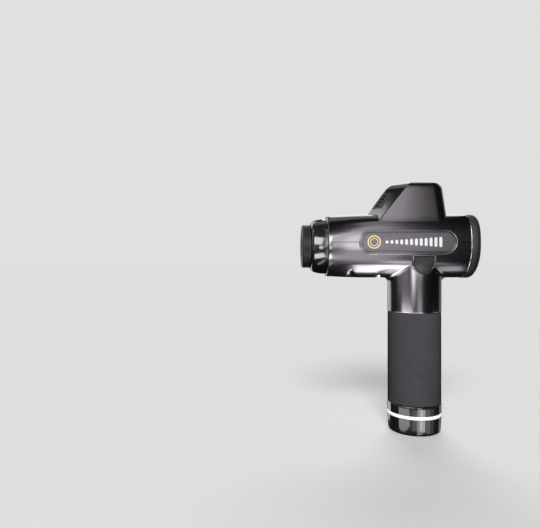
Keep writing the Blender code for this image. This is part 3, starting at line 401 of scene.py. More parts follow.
def skin(rings, looped=False, mesh=None):
    """Skins rings of equally many points. It caps the two end rings, or joins them if looped."""
    mesh = mesh or bmesh.new()
    rows = [[mesh.verts.new(point) for point in ring] for ring in rings]
    pairs = list(zip(rows, rows[1:]))
    if looped:
        pairs.append((rows[-1], rows[0]))
    else:
        for row in (rows[0], rows[-1]):
            if len(row) > 2:
                mesh.faces.new(row)
    for low, high in pairs:
        count = max(len(low), len(high))
        for i in range(count):
            j = (i + 1) % count
            corners = [low[i % len(low)], low[j % len(low)], high[j % len(high)], high[i % len(high)]]
            mesh.faces.new(list(dict.fromkeys(corners)))
    return mesh


def softened(profile, size, steps=4):
    """Rounds the corners of an open (radius, height) profile by size, where its sides are long enough."""
    points = [profile[0]]
    for before, here, after in zip(profile, profile[1:], profile[2:]):
        back = Vector((before[0] - here[0], before[1] - here[1]))
        ahead = Vector((after[0] - here[0], after[1] - here[1]))
        reach = min(size, back.length * 0.45, ahead.length * 0.45)
        start = Vector(here) + back.normalized() * reach
        end = Vector(here) + ahead.normalized() * reach
        for step in range(steps + 1):
            t = step / steps
            point = start * (1 - t) ** 2 + Vector(here) * 2 * t * (1 - t) + end * t**2
            points.append((point.x, point.y))
    points.append(profile[-1])
    return points


def turned(name, profile, sides=ROUND, bored=False, place=(0.0, 0.0, 0.0), turn=(0.0, 0.0, 0.0), soft=0.0):
    """Turns (radius, height) points about the local Z axis, with its corners softened."""
    if soft:
        if bored:
            middle = tuple((a + b) / 2 for a, b in zip(profile[0], profile[-1]))
            profile = softened([middle, *profile, middle], soft)[:-1]
        else:
            profile = softened(profile, soft)
    rings = [circle(radius, z, sides) for radius, z in profile]
    return new_object(name, skin(rings, looped=bored), place, turn)


def prism(name, outline, xs):
    """The block between two places on X that has an outline of (y, z) points."""
    return new_object(name, skin([[(x, y, z) for y, z in outline] for x in xs]))


def block(name, low, high):
    base = [(low[0], low[1]), (high[0], low[1]), (high[0], high[1]), (low[0], high[1])]
    return new_object(name, skin([[(x, y, z) for x, y in base] for z in (low[2], high[2])]))


def layer(name, low_z, high_z):
    """A block that is wider than the gun, between two heights."""
    return block(name, (-0.2, -0.1, low_z), (0.2, 0.1, high_z))


def combine(solid, tool, operation):
    """Joins, cuts or intersects solid with tool, which it removes."""
    modifier = solid.modifiers.new(operation, "BOOLEAN")
    modifier.operation = operation
    modifier.solver = "EXACT"
    modifier.object = tool
    bpy.context.view_layer.update()
    graph = bpy.context.evaluated_depsgraph_get()
    data = bpy.data.meshes.new_from_object(solid.evaluated_get(graph))
    solid.modifiers.clear()
    solid.data = data
    bpy.data.objects.remove(tool)
    return solid


def join(solid, tool):
    return combine(solid, tool, "UNION")


def cut(solid, tool):
    return combine(solid, tool, "DIFFERENCE")


def keep(solid, tool):
    return combine(solid, tool, "INTERSECT")


def dress(piece, name, finish, body, replaces=()):
    """Names a finished piece, gives it its material and hangs it on its body."""
    piece.name = name
    piece.data.name = name
    piece.data.materials.clear()
    piece.data.materials.append(FINISHES[finish] if isinstance(finish, str) else finish)
    piece.data.shade_smooth()
    piece.data.set_sharp_from_angle(angle=math.radians(30))
    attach(piece, body)
    if replaces:
        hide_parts(*replaces)


# The barrel, the neck and the hump


def signed_power(value, power):
    return math.copysign(abs(value) ** power, value)


def nose_share(x):
    """How far along its taper the barrel is at x, from 0 to 1 at the nose seam."""
    return min(max((TAPER_START_X - x) / (TAPER_START_X - NOSE_SEAM_X), 0.0), 1.0)


def slimness(x):
    return 1.0 - NOSE_TAPER * nose_share(x) ** 2


def upper_squareness(x):
    return mix(UPPER_SQUARENESS, NOSE_SQUARENESS, nose_share(x))


def barrel_section(x, grow=0.0, count=FINE):
    """The barrel's cross-section at x, with its skin moved out by grow."""
    half_width = HALF_WIDTH * slimness(x) + grow
    half_height = HALF_HEIGHT * slimness(x) + grow
    points = []
    for i in range(count):
        angle = 2 * math.pi * (i + 0.5) / count
        power = 2 / (upper_squareness(x) if angle < math.pi else LOWER_SQUARENESS)
        y = half_width * signed_power(math.cos(angle), power)
        z = BARREL_Z + half_height * signed_power(math.sin(angle), power)
        points.append((x, y, z))
    return points


def barrel_y(x, z, grow=0.0):
    """Half the barrel's width at x and height z."""
    lift = z - BARREL_Z
    squareness = upper_squareness(x) if lift > 0 else LOWER_SQUARENESS
    share = min(abs(lift) / (HALF_HEIGHT * slimness(x) + grow), 1.0)
    return (HALF_WIDTH * slimness(x) + grow) * (1.0 - share**squareness) ** (1 / squareness)


def barrel_stations(front, rear):
    """Front, rear and the places between them where the taper needs a section."""
    pitch, count = 0.004, 10
    taper = [TAPER_START_X - pitch * i for i in range(count)]
    return [front, *sorted(x for x in taper if front < x < rear), rear]


def barrel_solid(name, grow=0.0, front=NOSE_SEAM_X, rear=REAR_SEAM_X, rims=(0.0, 0.0)):
    """The barrel as a solid, with its front and rear rims rounded."""
    steps = 5
    outline = [(front + back, -inward) for back, inward in reversed(rounding(rims[0], steps))]
    outline += [(x, 0.0) for x in barrel_stations(front + rims[0], rear - rims[1])[1:-1]]
    outline += [(rear - back, -inward) for back, inward in rounding(rims[1], steps)]
    sections = {round(x, 7): barrel_section(x, grow + step) for x, step in outline}
    return new_object(name, skin(list(sections.values())))


def barrel_void():
    return barrel_solid("void", -WALL, NOSE_SEAM_X - PAST, REAR_SEAM_X + PAST)


def saddle_z(y):
    """The height of the barrel's underside at y."""
    share = min(abs(y) / HALF_WIDTH, 1.0)
    return BARREL_Z - HALF_HEIGHT * math.sqrt(1.0 - share**2)


def neck_solid(name):
    """The neck, with a rounded lower lip, and flared fore and aft where it meets the barrel."""
    rings = []
    for back, inward in rounding(NECK_LIP, 5):
        rings.append(circle(HANDLE_RADIUS - back, NECK_LOW_Z + inward, FINE))
    column = circle(HANDLE_RADIUS, 0.0, FINE)
    steps = 10
    for step in range(steps + 1):
        angle = math.radians(84) * step / steps
        ring = []
        for x, y, _ in column:
            fillet = NECK_FILLET * (x / HANDLE_RADIUS) ** 2
            stretch = 1.0 + fillet * (1.0 - math.cos(angle)) / HANDLE_RADIUS
            drop = fillet * (1.0 - math.sin(angle))
            ring.append((x * stretch, y * stretch, saddle_z(y * stretch) - drop))
        rings.append(ring)
    rings.append([(x, y, saddle_z(y) + WALL / 2) for x, y, _ in column])
    return new_object(name, skin(rings))


def hump_corners(z):
    """The corners of the hump's outline at z, each with its radius and the steps round it."""
    share = (z - HUMP_FOOT_Z) / (HUMP_SHOULDER_Z - HUMP_FOOT_Z)
    ridge, front, rear = (mix(*pair, share) for pair in (RIDGE_XS, FRONT_XS, REAR_XS))
    half = mix(*HUMP_HALVES, share)
    return [
        (ridge, 0.0, 0.004, 12),
        (front, -half, 0.0012, 6),
        (rear, -half, 0.012, 18),
        (rear, half, 0.012, 18),
        (front, half, 0.0012, 6),
    ]


def unit(x, y):
    length = math.hypot(x, y)
    return x / length, y / length


def inset_corners(corners, inset):
    """Moves every side of a counter-clockwise outline in by inset."""
    least = 0.0008
    moved = []
    count = len(corners)
    for i in range(count):
        before, here, after = corners[i - 1], corners[i], corners[(i + 1) % count]
        first = unit(here[0] - before[0], here[1] - before[1])
        second = unit(after[0] - here[0], after[1] - here[1])
        turn = first[0] * second[1] - first[1] * second[0]
        reach = (1.0 - (first[0] * second[0] + first[1] * second[1])) / turn
        x = here[0] - inset * first[1] - inset * reach * first[0]
        y = here[1] + inset * first[0] - inset * reach * first[1]
        moved.append((x, y, max(here[2] - inset, least), here[3]))
    return moved


def rounded_outline(corners):
    """The points of an outline whose corners are (x, y, radius, steps)."""
    points = []
    count = len(corners)
    for i, (x, y, radius, steps) in enumerate(corners):
        back = unit(corners[i - 1][0] - x, corners[i - 1][1] - y)
        after = corners[(i + 1) % count]
        ahead = unit(after[0] - x, after[1] - y)
        half_angle = math.acos(back[0] * ahead[0] + back[1] * ahead[1]) / 2
        middle = unit(back[0] + ahead[0], back[1] + ahead[1])
        reach = radius / math.sin(half_angle)
        centre = (x + middle[0] * reach, y + middle[1] * reach)
        touch = radius / math.tan(half_angle)
        start = math.atan2(y + back[1] * touch - centre[1], x + back[0] * touch - centre[0])
        for step in range(steps + 1):
            angle = start + (math.pi - 2 * half_angle) * step / steps
            points.append((centre[0] + radius * math.cos(angle), centre[1] + radius * math.sin(angle)))
    return points


def hump_ring(z, inset):
    return [(x, y, z) for x, y in rounded_outline(inset_corners(hump_corners(z), inset))]


def hump_solid(name, inset=0.0, sink=HUMP_SINK_Z):
    """The hump from below its foot to its top, whose edge is rounded and leaves a small flat."""
    levels = 6
    rings = [hump_ring(mix(sink, HUMP_SHOULDER_Z, i / levels), inset) for i in range(levels)]
    size = HUMP_TOP_Z - HUMP_SHOULDER_Z - inset
    for back, inward in rounding(size, 12):
        rings.append(hump_ring(HUMP_SHOULDER_Z + size - back, inset + inward * 0.98))
    return new_object(name, skin(rings))


def hump_void():
    return hump_solid("hump_void", WALL, HUMP_SINK_Z - 0.002)


# The casings


def seam_groove():
    """A thin wedge along the parting line on both sides, cut out of both shells."""
    groove = None
    for side in (-1, 1):
        rings = []
        for x in barrel_stations(NOSE_SEAM_X - 0.002, REAR_SEAM_X + 0.002):
            y = barrel_y(x, PARTING_Z)
            wedge = ((GROOVE, -GROOVE), (GROOVE, GROOVE), (-GROOVE, 0.0))
            rings.append([(x, side * (y + out), PARTING_Z + lift) for out, lift in wedge])
        half = new_object("groove", skin(rings))
        groove = half if groove is None else join(groove, half)
    return groove


def vent_prism(name, inset):
    """The block of space that the vent panel takes out of the hump's front."""
    low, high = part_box("vent_panel")
    low_z, high_z = low.z + inset - GAP, high.z - inset + GAP
    low_half, high_half = VENT_HALVES[0] - inset, VENT_HALVES[1] - inset
    corners = [
        (-low_half, low_z, 0.0010, 5),
        (low_half, low_z, 0.0010, 5),
        (high_half, high_z, 0.0016, 6),
        (-high_half, high_z, 0.0016, 6),
    ]
    return prism(name, rounded_outline(corners), VENT_XS)


def upper_shell():
    shell = join(barrel_solid("shell", rims=RIMS), hump_solid("hump"))
    shell = cut(shell, join(barrel_void(), hump_void()))
    shell = cut(shell, layer("below", 0.1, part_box("upper_shell")[0].z))
    shell = cut(shell, vent_prism("vent_hole", 0.0))
    shell = cut(shell, seam_groove())
    dress(shell, "upper_casing", "gunmetal_paint", "housing", ["upper_shell"])


def lower_void():
    """The barrel's and the neck's hollow, less the screw bosses that stand in it."""
    lead = 0.0006
    bore = [(NECK_BORE + lead, NECK_LOW_Z - PAST), (NECK_BORE + lead, NECK_LOW_Z)]
    bore += [(NECK_BORE, NECK_LOW_Z + lead), (NECK_BORE, BARREL_Z - PAST)]
    void = join(barrel_void(), turned("bore", bore, FINE))
    for x, y, head_z in screw_places():
        boss = [(BOSS_RADIUS, 0.13), (BOSS_RADIUS, head_z + 0.0165)]
        void = cut(void, turned("boss", boss, SMALL, place=(x, y, 0.0)))
    return void


def screw_hole(x, y, head_z):
    """A countersunk hole for a casing screw."""
    skin_z = saddle_z(y)
    seat = head_z + HEAD_HEIGHT + GAP
    wide, narrow = HEAD_RADIUS + 0.0006, SHANK_RADIUS + GAP
    profile = [(HEAD_RADIUS + 0.0054, skin_z - 0.004), (wide, skin_z + 0.0014), (wide, seat)]
    profile += [(narrow, seat), (narrow, head_z + 0.022)]
    return turned("hole", profile, SMALL, place=(x, y, 0.0))


def lower_shell():
    shell = join(barrel_solid("shell", rims=RIMS), neck_solid("neck"))
    shell = cut(shell, lower_void())
    shell = cut(shell, layer("above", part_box("lower_shell")[1].z, 0.3))
    for place in screw_places():
        shell = cut(shell, screw_hole(*place))
    shell = cut(shell, seam_groove())
    dress(shell, "lower_casing", "gunmetal_paint", "housing", ["lower_shell"])


def casing_screws():
    """Threaded screws with a crossed recess."""
    long, short, deep = 0.0014, 0.0003, 0.0008
    for number, (x, y, head_z) in enumerate(screw_places(), 1):
        top = head_z + HEAD_HEIGHT
        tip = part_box(f"shell_screw_{number}")[1].z
        pitch = (tip - top - 0.002) / THREADS
        profile = [(0.0, head_z), (HEAD_RADIUS - 0.0004, head_z), (HEAD_RADIUS, head_z + 0.0006)]
        profile += [(HEAD_RADIUS, top), (SHANK_RADIUS, top)]
        for thread in range(THREADS):
            z = mix(top + 0.001, tip - 0.001, thread / THREADS)
            profile += [(SHANK_RADIUS, z), (SHANK_RADIUS - THREAD_DEPTH, z + pitch / 2)]
        profile += [(SHANK_RADIUS - 0.0004, tip), (0.0, tip)]
        screw = turned("screw", profile, SMALL, place=(x, y, 0.0), soft=0.0002)
        for half_x, half_y in ((long, short), (short, long)):
            low = (x - half_x, y - half_y, head_z - 0.001)
            high = (x + half_x, y + half_y, head_z + deep)
            screw = cut(screw, block("recess", low, high))
        dress(screw, f"casing_screw_{number}", "machined_steel", "housing", [f"shell_screw_{number}"])


def vent_panel():
    """The vent's grille, with two columns of slots whose ends are round."""
    panel = cut(hump_solid("panel"), hump_void())
    panel = keep(panel, vent_prism("edge", GAP))
    low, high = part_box("vent_panel")
    pitch = (high.z - low.z + 2 * GAP) / (VENT_SLOTS + 1)
    radius = VENT_SLOT_HEIGHT / 2
    for number in range(VENT_SLOTS):
        z = low.z - GAP + pitch * (number + 1)
        for side in (-1, 1):
            near, far = sorted((side * VENT_RIB, side * VENT_SLOT_HALF))
            outline = arc((far - radius, z), radius, -90, 90, 8) + [(far - radius, z + radius)]
            outline += arc((near + radius, z), radius, 90, 270, 8) + [(near + radius, z - radius)]
            panel = cut(panel, prism("slot", outline, VENT_XS))
    dress(panel, "vent_grille", "satin_black", "housing", ["vent_panel"])


# Badges and plugs, which follow the gun's sides


def neck_y(x, grow):
    return math.sqrt(max((HANDLE_RADIUS + grow) ** 2 - x**2, 0.0))


def side_y(x, z, grow):
    """Half the gun's width on the barrel and the neck, with their crease filled a little."""
    first, second = barrel_y(x, z, grow), neck_y(x, grow)
    reach = 0.0015
    overlap = max(reach - abs(first - second), 0.0) / reach
    return max(first, second) + overlap**2 * reach / 4


def conformal(rings, side, surface, looped=False, mesh=None):
    """Skins rings of (x, z, height) points laid on the gun's side."""
    return skin([[(x, side * surface(x, z, h), z) for x, z, h in ring] for ring in rings], looped, mesh)


def racetrack(inset):
    """The badge's outline, moved in by inset."""
    low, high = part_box("left_badge")
    reach = (high.z - low.z) / 2
    middle, radius = (high.z + low.z) / 2, reach - inset
    rear, front = high.x - reach, low.x + reach
    points = arc((rear, middle), radius, -90, 90, 32)
    points += run((rear, middle + radius), (front, middle + radius), 40)
    points += arc((front, middle), radius, 90, 270, 32)
    points += run((front, middle - radius), (rear, middle - radius), 40)
    return points


def tongue(inset):
    """The neck plug's outline, straight at the top and round at the foot, moved in by inset."""
    low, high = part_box("left_neck_plug")
    middle, half = (low.x + high.x) / 2, (high.x - low.x) / 2
    radius, top = half - inset, high.z - inset
    centre = low.z + half
    points = run((middle + radius, top), (middle - radius, top), 20)
    points += run((middle - radius, top), (middle - radius, centre), 12)
    points += arc((middle, centre), radius, 180, 360, 40)
    points += run((middle + radius, centre), (middle + radius, top), 12)
    return points


def frame_strip(name, outline, profile, surface, side):
    """A closed rim on the gun's side, of (inset, height) points."""
    rings = [[(x, z, height) for x, z in outline(inset)] for inset, height in profile]
    return new_object(name, conformal(rings, side, surface, looped=True))


def inlay(name, outline, start, profile, insets, surface, side):
    """A closed plate on the gun's side: a rim given by profile, then a field that shrinks to its middle."""
    back, field = 0.0003, profile[-1][1]
    levels = [(inset, back) for inset in reversed(insets)] + [(0.0, back), *profile]
    levels += [(inset, field) for inset in insets]
    rings = [[(x, z, height) for x, z in outline(start + inset)] for inset, height in levels]
    return new_object(name, conformal(rings, side, surface))


def badge_ring(side):
    """Two rings round one centre."""
    low, high = BADGE_PRINT
    middle = node_centre("left_badge")
    mesh = bmesh.new()
    for outer, inner in ((0.0060, 0.0050), (0.0036, 0.0030)):
        rings = []
        for radius, height in ((outer, low), (outer, high), (inner, high), (inner, low)):
            loop = arc((middle.x + BADGE_RING_X, middle.z), radius, 0, 360, 64)
            rings.append([(x, z, height) for x, z in loop])
        conformal(rings, side, barrel_y, looped=True, mesh=mesh)
    return new_object("ring", mesh)


def badge_bars(side):
    """A scale of bars with round ends, taller to the rear."""
    low, high = BADGE_PRINT
    middle = node_centre("left_badge")
    steps = 8
    mesh = bmesh.new()
    for number in range(BARS):
        x = middle.x + BARS_X + BAR_PITCH * number
        straight = mix(*BAR_HALF_HEIGHTS, number / (BARS - 1)) - BAR_HALF_WIDTH
        rings = []
        for step in range(-steps, steps + 1):
            angle = math.radians(80) * step / steps
            end = (step > 0) - (step < 0)
            half = BAR_HALF_WIDTH * math.cos(angle)
            z = middle.z + end * straight + BAR_HALF_WIDTH * math.sin(angle)
            rings.append([(x - half, z, low), (x + half, z, low), (x + half, z, high), (x - half, z, high)])
        conformal(rings, side, barrel_y, mesh=mesh)
    return new_object("bars", mesh)


def side_badge(side):
    word = "left" if side < 0 else "right"
    profile = [(0.0, 0.0003), (0.0, 0.0006), *bead(0.0, 0.0011, 0.0007, 0.0013), (0.0013, 0.0004)]
    profile += [(0.0018, 0.0004), *bead(0.0019, 0.0005, 0.0006, 0.0011, 6), (0.0024, 0.0003)]
    rim = frame_strip("rim", racetrack, profile, barrel_y, side)
    dress(rim, f"{word}_side_badge", "gunmetal_paint", "housing", [f"{word}_badge"])

    profile = [(0.0, 0.0007), (0.0002, 0.0009)]
    insets = [0.0018, 0.0034, 0.0050, 0.0066, 0.0078, 0.0084]
    face = inlay("face", racetrack, FACE_INSET, profile, insets, barrel_y, side)
    dress(face, f"{word}_badge_face", BADGE_GRAIN, "housing", [f"{word}_badge"])
    dress(badge_ring(side), f"{word}_badge_ring", GOLD_PRINT, "housing")
    dress(badge_bars(side), f"{word}_badge_bars", WHITE_PRINT, "housing")


def neck_plug(side):
    word = "left" if side < 0 else "right"
    node = f"{word}_neck_plug"
    profile = [(0.0, 0.0003), (0.0, 0.0006), *bead(0.0, 0.0010, 0.0007, 0.0014)]
    profile += [(0.0011, 0.0006), (0.0011, 0.0003)]
    rim = frame_strip("rim", tongue, profile, side_y, side)
    dress(rim, f"{word}_plug_rim", "gunmetal_paint", "housing", [node])

    profile = [(0.0, 0.0005), (0.0002, 0.0007), (0.0005, 0.0007), (0.0007, 0.0004), (0.0011, 0.0004)]
    profile += [(0.0013, 0.0007), (0.0016, 0.0009)]
    insets = [0.0025, 0.0036, 0.0048, 0.0058, 0.0064]
    plug = inlay("plug", tongue, PLUG_INSET, profile, insets, side_y, side)
    dress(plug, f"{word}_plug_face", PLUG_TEXTURE, "housing", [node])


# Nose


def nose_cowl():
    low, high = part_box("nose_collar")
    rear, front = -high.x, -low.x
    seam = GAP - NOSE_SEAM_X
    spigot, radius, front_radius, bore, chamfer = 0.0248, 0.0262, 0.0215, 0.014, 0.0008
    profile = [(bore, rear), (spigot, rear), (spigot, seam)]
    for angle in quarter(24):
        out = mix(front_radius, radius, math.cos(angle))
        profile.append((out, seam + (front - seam) * math.sin(angle)))
    profile += [(bore + chamfer, front), (bore, front - chamfer)]
    collar = turned("collar", profile, FINE, True, BARREL_AXIS, TO_NOSE)
    dress(collar, "nose_cowl", COWL_LACQUER, "housing", ["nose_collar"])


def nose_bumper():
    """The rubber ring at the tip, with grooves between its ribs."""
    low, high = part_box("nose_ring")
    rear, tip = -high.x, -low.x
    radius, bore, edge = 0.0205, 0.0115, 0.0004
    profile = [(bore, rear), (radius - edge, rear), (radius, rear + edge)]
    grooves = 3
    for groove in range(grooves):
        z = mix(rear + 0.0016, tip - 0.0030, groove / (grooves - 1))
        for back, lift in ((0.0, 0.0), (edge, 0.0003), (edge, 0.0007), (0.0, 0.0010)):
            profile.append((radius - back, z + lift))
    profile += [(radius, tip - 0.0012), (radius - 0.0012, tip), (bore + 0.0030, tip)]
    profile += [(bore + 0.0024, tip - 0.0006), (bore, tip - 0.0010)]
    ring = turned("ring", profile, FINE, True, BARREL_AXIS, TO_NOSE, soft=0.0003)
    dress(ring, "nose_bumper", "dark_rubber", "housing", ["nose_ring"])


def wiper_seal():
    low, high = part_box("nose_seal")
    rear, front = -high.x, -low.x
    inner, outer, lip = 0.0093, 0.0137, 0.0012
    profile = [(inner, rear), (outer, rear), (outer, front), (inner + lip, front), (inner, front - 0.0010)]
    seal = turned("seal", profile, ROUND, True, BARREL_AXIS, TO_NOSE, soft=0.0003)
    dress(seal, "wiper_seal", "dark_rubber", "housing", ["nose_seal"])


# Rear


def seam_ring():
    low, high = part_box("rear_trim_ring")
    outline = [(low.x, -WALL)]
    outline += [(mix(low.x, high.x, share), grow) for share, grow in bead(0.0, 1.0, -0.0002, 0.0003, 10)]
    outline.append((high.x, -WALL))
    ring = new_object("ring", skin([barrel_section(x, grow) for x, grow in outline], looped=True))
    dress(ring, "silver_seam_ring", "silver_trim", "housing", ["rear_trim_ring"])


def rear_cover():
    """The rear cover, with a pocket for the display and a hole for each key."""
    low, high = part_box("rear_cap")
    face, edge, chip = high.x, 0.0035, 0.0002
    outline = [(face - WALL, -WALL - 0.001), (low.x + chip, -WALL), (low.x, -WALL + chip), (low.x, -0.0003)]
    outline += [(low.x + 0.0001, -0.0001), (low.x + 0.0003, 0.0)]
    outline += [(face - back, -inward) for back, inward in rounding(edge, 12)]
    outline += [(face, -0.0050), (face - chip, -0.0052), (face - chip, -0.0060), (face, -0.0062)]
    cap = new_object("cap", skin([barrel_section(x, grow) for x, grow in outline]))
    low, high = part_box("display_lens")
    radius, depth, past = high.y + GAP, face - low.x + GAP, 0.0005
    profile = [(radius, -depth), (radius, -0.0003), (radius + 0.0008, past)]
    place = (face, 0.0, node_centre("display_lens").z)
    cap = cut(cap, turned("pocket", profile, FINE, place=place, turn=TO_REAR))
    for radius, y, z in key_places().values():
        profile = [(radius + GAP, -PAST), (radius + GAP, -0.0004), (radius + 0.0012, past)]
        cap = cut(cap, turned("hole", profile, ROUND, place=(face, y, z), turn=TO_REAR))
    dress(cap, "rear_cover", "satin_black", "housing", ["rear_cap"])


def display():
    """The lens, with a ring of level dots round a plain speed dial."""
    low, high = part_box("display_lens")
    radius, edge = high.y, 0.0003
    face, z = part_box("rear_cap")[1].x, node_centre("display_lens").z
    rear, front = low.x - face, high.x - face
    profile = [(0.0, rear), (radius, rear), (radius, front - edge)]
    profile += [(radius - edge, front - 0.00005), (0.0, front)]
    lens = turned("lens", profile, FINE, place=(face, 0.0, z), turn=TO_REAR, soft=0.0002)
    dress(lens, "display_glass", "gloss_black", "housing", ["display_lens"])

    back, top = (high.x + lift for lift in PRINT)
    mesh = bmesh.new()
    for number in range(DOTS):
        angle = math.radians(DOTS_SPREAD * (number / (DOTS - 1) - 0.5))
        y, lift = DOTS_RADIUS * math.sin(angle), DOTS_RADIUS * math.cos(angle)
        dot = circle(DOT if number % 4 else BIG_DOT, 0.0, 20)
        skin([[(x, y + a, z + lift + b) for a, b, _ in dot] for x in (back, top)], mesh=mesh)
    inner, outer = DIAL
    rings = []
    for size, x in ((outer, back), (outer, top), (inner, top), (inner, back)):
        rings.append([(x, y, z + b) for y, b, _ in circle(size, 0.0, ROUND)])
    skin(rings, looped=True, mesh=mesh)
    dress(new_object("marks", mesh), "display_marks", "led_white", "housing")


def key_sign(sign, face, y, z):
    """The raised sign on a key: a broken ring with a stroke, a minus or a plus."""
    long, thin = 0.0015, 0.0003
    strokes = {
        "minus": [(long, thin, 0.0)],
        "plus": [(long, thin, 0.0), (thin, long, 0.0)],
        "power": [(thin, 0.0009, 0.0012)],
    }
    low, high = face - KEY_SIGN, face
    mesh = bmesh.new()
    for half_y, half_z, lift in strokes[sign]:
        corners = [(half_y, half_z), (-half_y, half_z), (-half_y, -half_z), (half_y, -half_z)]
        skin([[(x, y + a, z + lift + b) for a, b in corners] for x in (low, high)], mesh=mesh)
    if sign == "power":
        inner, outer, gap, steps = 0.0014, 0.0020, 35, 32
        section = []
        for step in range(steps + 1):
            angle = math.radians(mix(gap, 360 - gap, step / steps))
            points = [(low, inner), (low, outer), (high, outer), (high, inner)]
            section.append([(x, y + r * math.sin(angle), z + r * math.cos(angle)) for x, r in points])
        skin(section, mesh=mesh)
    return new_object("sign", mesh)


def keys():
    """Round keys with a flange below and a dished top."""
    thick, edge, rim = 0.0007, 0.0004, 0.0007
    for sign, (radius, y, z) in key_places().items():
        low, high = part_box(f"{sign}_button")
        rear, front = low.x - high.x, 0.0
        flange = radius + KEY_FLANGE
        profile = [(0.0, rear), (flange, rear), (flange, rear + thick), (radius, rear + thick)]
        profile += [(radius, front - edge), (radius - edge, front), (radius - rim, front)]
        profile += [(radius - rim - KEY_SIGN, front - KEY_SIGN), (0.0, front - KEY_SIGN)]
        key = turned("key", profile, ROUND, place=(high.x, y, z), turn=TO_REAR, soft=0.00015)
        dress(key, f"{sign}_key_cap", "dark_rubber", f"{sign}_key", [f"{sign}_button"])
        mark = key_sign(sign, high.x, y, z)
        dress(mark, f"{sign}_key_sign", WHITE_PRINT, f"{sign}_key")


# Plunger


def plunger_shaft():
    """The plunger, with its head socket in front and a fork for the rod at the rear."""
    low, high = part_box("plunger")
    front, rear, radius = -low.x, -high.x, high.y
    ring_low, ring_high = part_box("socket_ring")
    groove_rear, groove_front, groove = -ring_high.x - GAP, -ring_low.x + GAP, ring_high.y + GAP
    socket, depth, chamfer, edge, lead = 0.00605, 0.025, 0.0010, 0.0004, 0.0008
    profile = [(0.0, rear), (radius - edge, rear), (radius, rear + edge)]
    profile += [(radius, front - chamfer), (radius - chamfer, front)]
    profile += [(socket + lead, front), (socket, front - lead)]
    profile += [(socket, groove_front), (groove, groove_front), (groove, groove_rear), (socket, groove_rear)]
    profile += [(socket, front - depth + chamfer), (socket - chamfer, front - depth), (0.0, front - depth)]
    shaft = turned("shaft", profile, FINE, place=BARREL_AXIS, turn=TO_NOSE)
    wrist_x = node_centre("wrist_pin").x
    fork_reach, fork_half, pin_hole, past = 0.0082, 0.0033, 0.0028, 0.014
    fork_low = (wrist_x - fork_reach, -past, BARREL_Z - fork_half)
    shaft = cut(shaft, block("fork", fork_low, (high.x + 0.005, past, BARREL_Z + fork_half)))
    hole = [(pin_hole, -past), (pin_hole, past)]
    shaft = cut(shaft, turned("hole", hole, SMALL, place=(wrist_x, 0.0, BARREL_Z)))
    dress(shaft, "plunger_shaft", "machined_aluminium", "piston", ["plunger"])


def socket_o_ring():
    low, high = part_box("socket_ring")
    middle = -(low.x + high.x) / 2
    inner, outer, half, sides = 0.00615, high.y, 0.0007, 20
    thick, centre = (outer - inner) / 2, (outer + inner) / 2
    loop = [2 * math.pi * step / sides for step in range(sides)]
    profile = [(centre + thick * math.cos(a), middle + half * math.sin(a)) for a in loop]
    ring = turned("ring", profile, ROUND, True, BARREL_AXIS, TO_NOSE)
    dress(ring, "socket_o_ring", "dark_rubber", "piston", ["socket_ring"])


# Battery handle


def pack_tube():
    low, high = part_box("handle_tube")
    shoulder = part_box("grip_sleeve")[1].z
    spigot, groove, chamfer = NECK_BORE - 0.0006, NECK_BORE - 0.0014, 0.0006
    profile = [(TUBE_RADIUS, low.z), (TUBE_RADIUS, shoulder), (spigot, shoulder), (spigot, shoulder + 0.0035)]
    profile += [(groove, shoulder + 0.0040), (groove, shoulder + 0.0055), (spigot, shoulder + 0.0060)]
    profile += [(spigot, high.z - chamfer), (spigot - chamfer, high.z)]
    profile += [(TUBE_BORE, high.z), (TUBE_BORE, low.z)]
    tube = turned("tube", profile, FINE, True, soft=0.0002)
    dress(tube, "pack_tube", "satin_black", "battery_handle", ["handle_tube"])


def grip_cover():
    low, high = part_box("grip_sleeve")
    size = 0.0008
    edge = rounding(size, 5)
    profile = [(SLEEVE_BORE, low.z), (high.y - size, low.z)]
    profile += [(high.y - back, low.z + inward) for back, inward in edge]
    profile += [(high.y - inward, high.z - back) for back, inward in edge]
    profile.append((SLEEVE_BORE, high.z))
    dress(turned("grip", profile, FINE, True), "grip_cover", "grip_foam", "battery_handle", ["grip_sleeve"])


def collars():
    """The gloss band and the light ring below the grip."""
    low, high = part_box("handle_band")
    edge = 0.0003
    profile = [(SLEEVE_BORE, low.z), (HANDLE_RADIUS, low.z), (HANDLE_RADIUS, high.z - edge)]
    profile += [(HANDLE_RADIUS - edge, high.z), (SLEEVE_BORE, high.z)]
    band = turned("band", profile, FINE, True, soft=0.0002)
    dress(band, "gloss_band", "gloss_black", "battery_handle", ["handle_band"])

    low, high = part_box("led_ring")
    profile = [(SLEEVE_BORE, low.z), (HANDLE_RADIUS, low.z), (HANDLE_RADIUS, high.z), (SLEEVE_BORE, high.z)]
    ring = turned("light", profile, FINE, True, soft=0.0002)
    dress(ring, "light_ring", "led_white", "battery_handle", ["led_ring"])


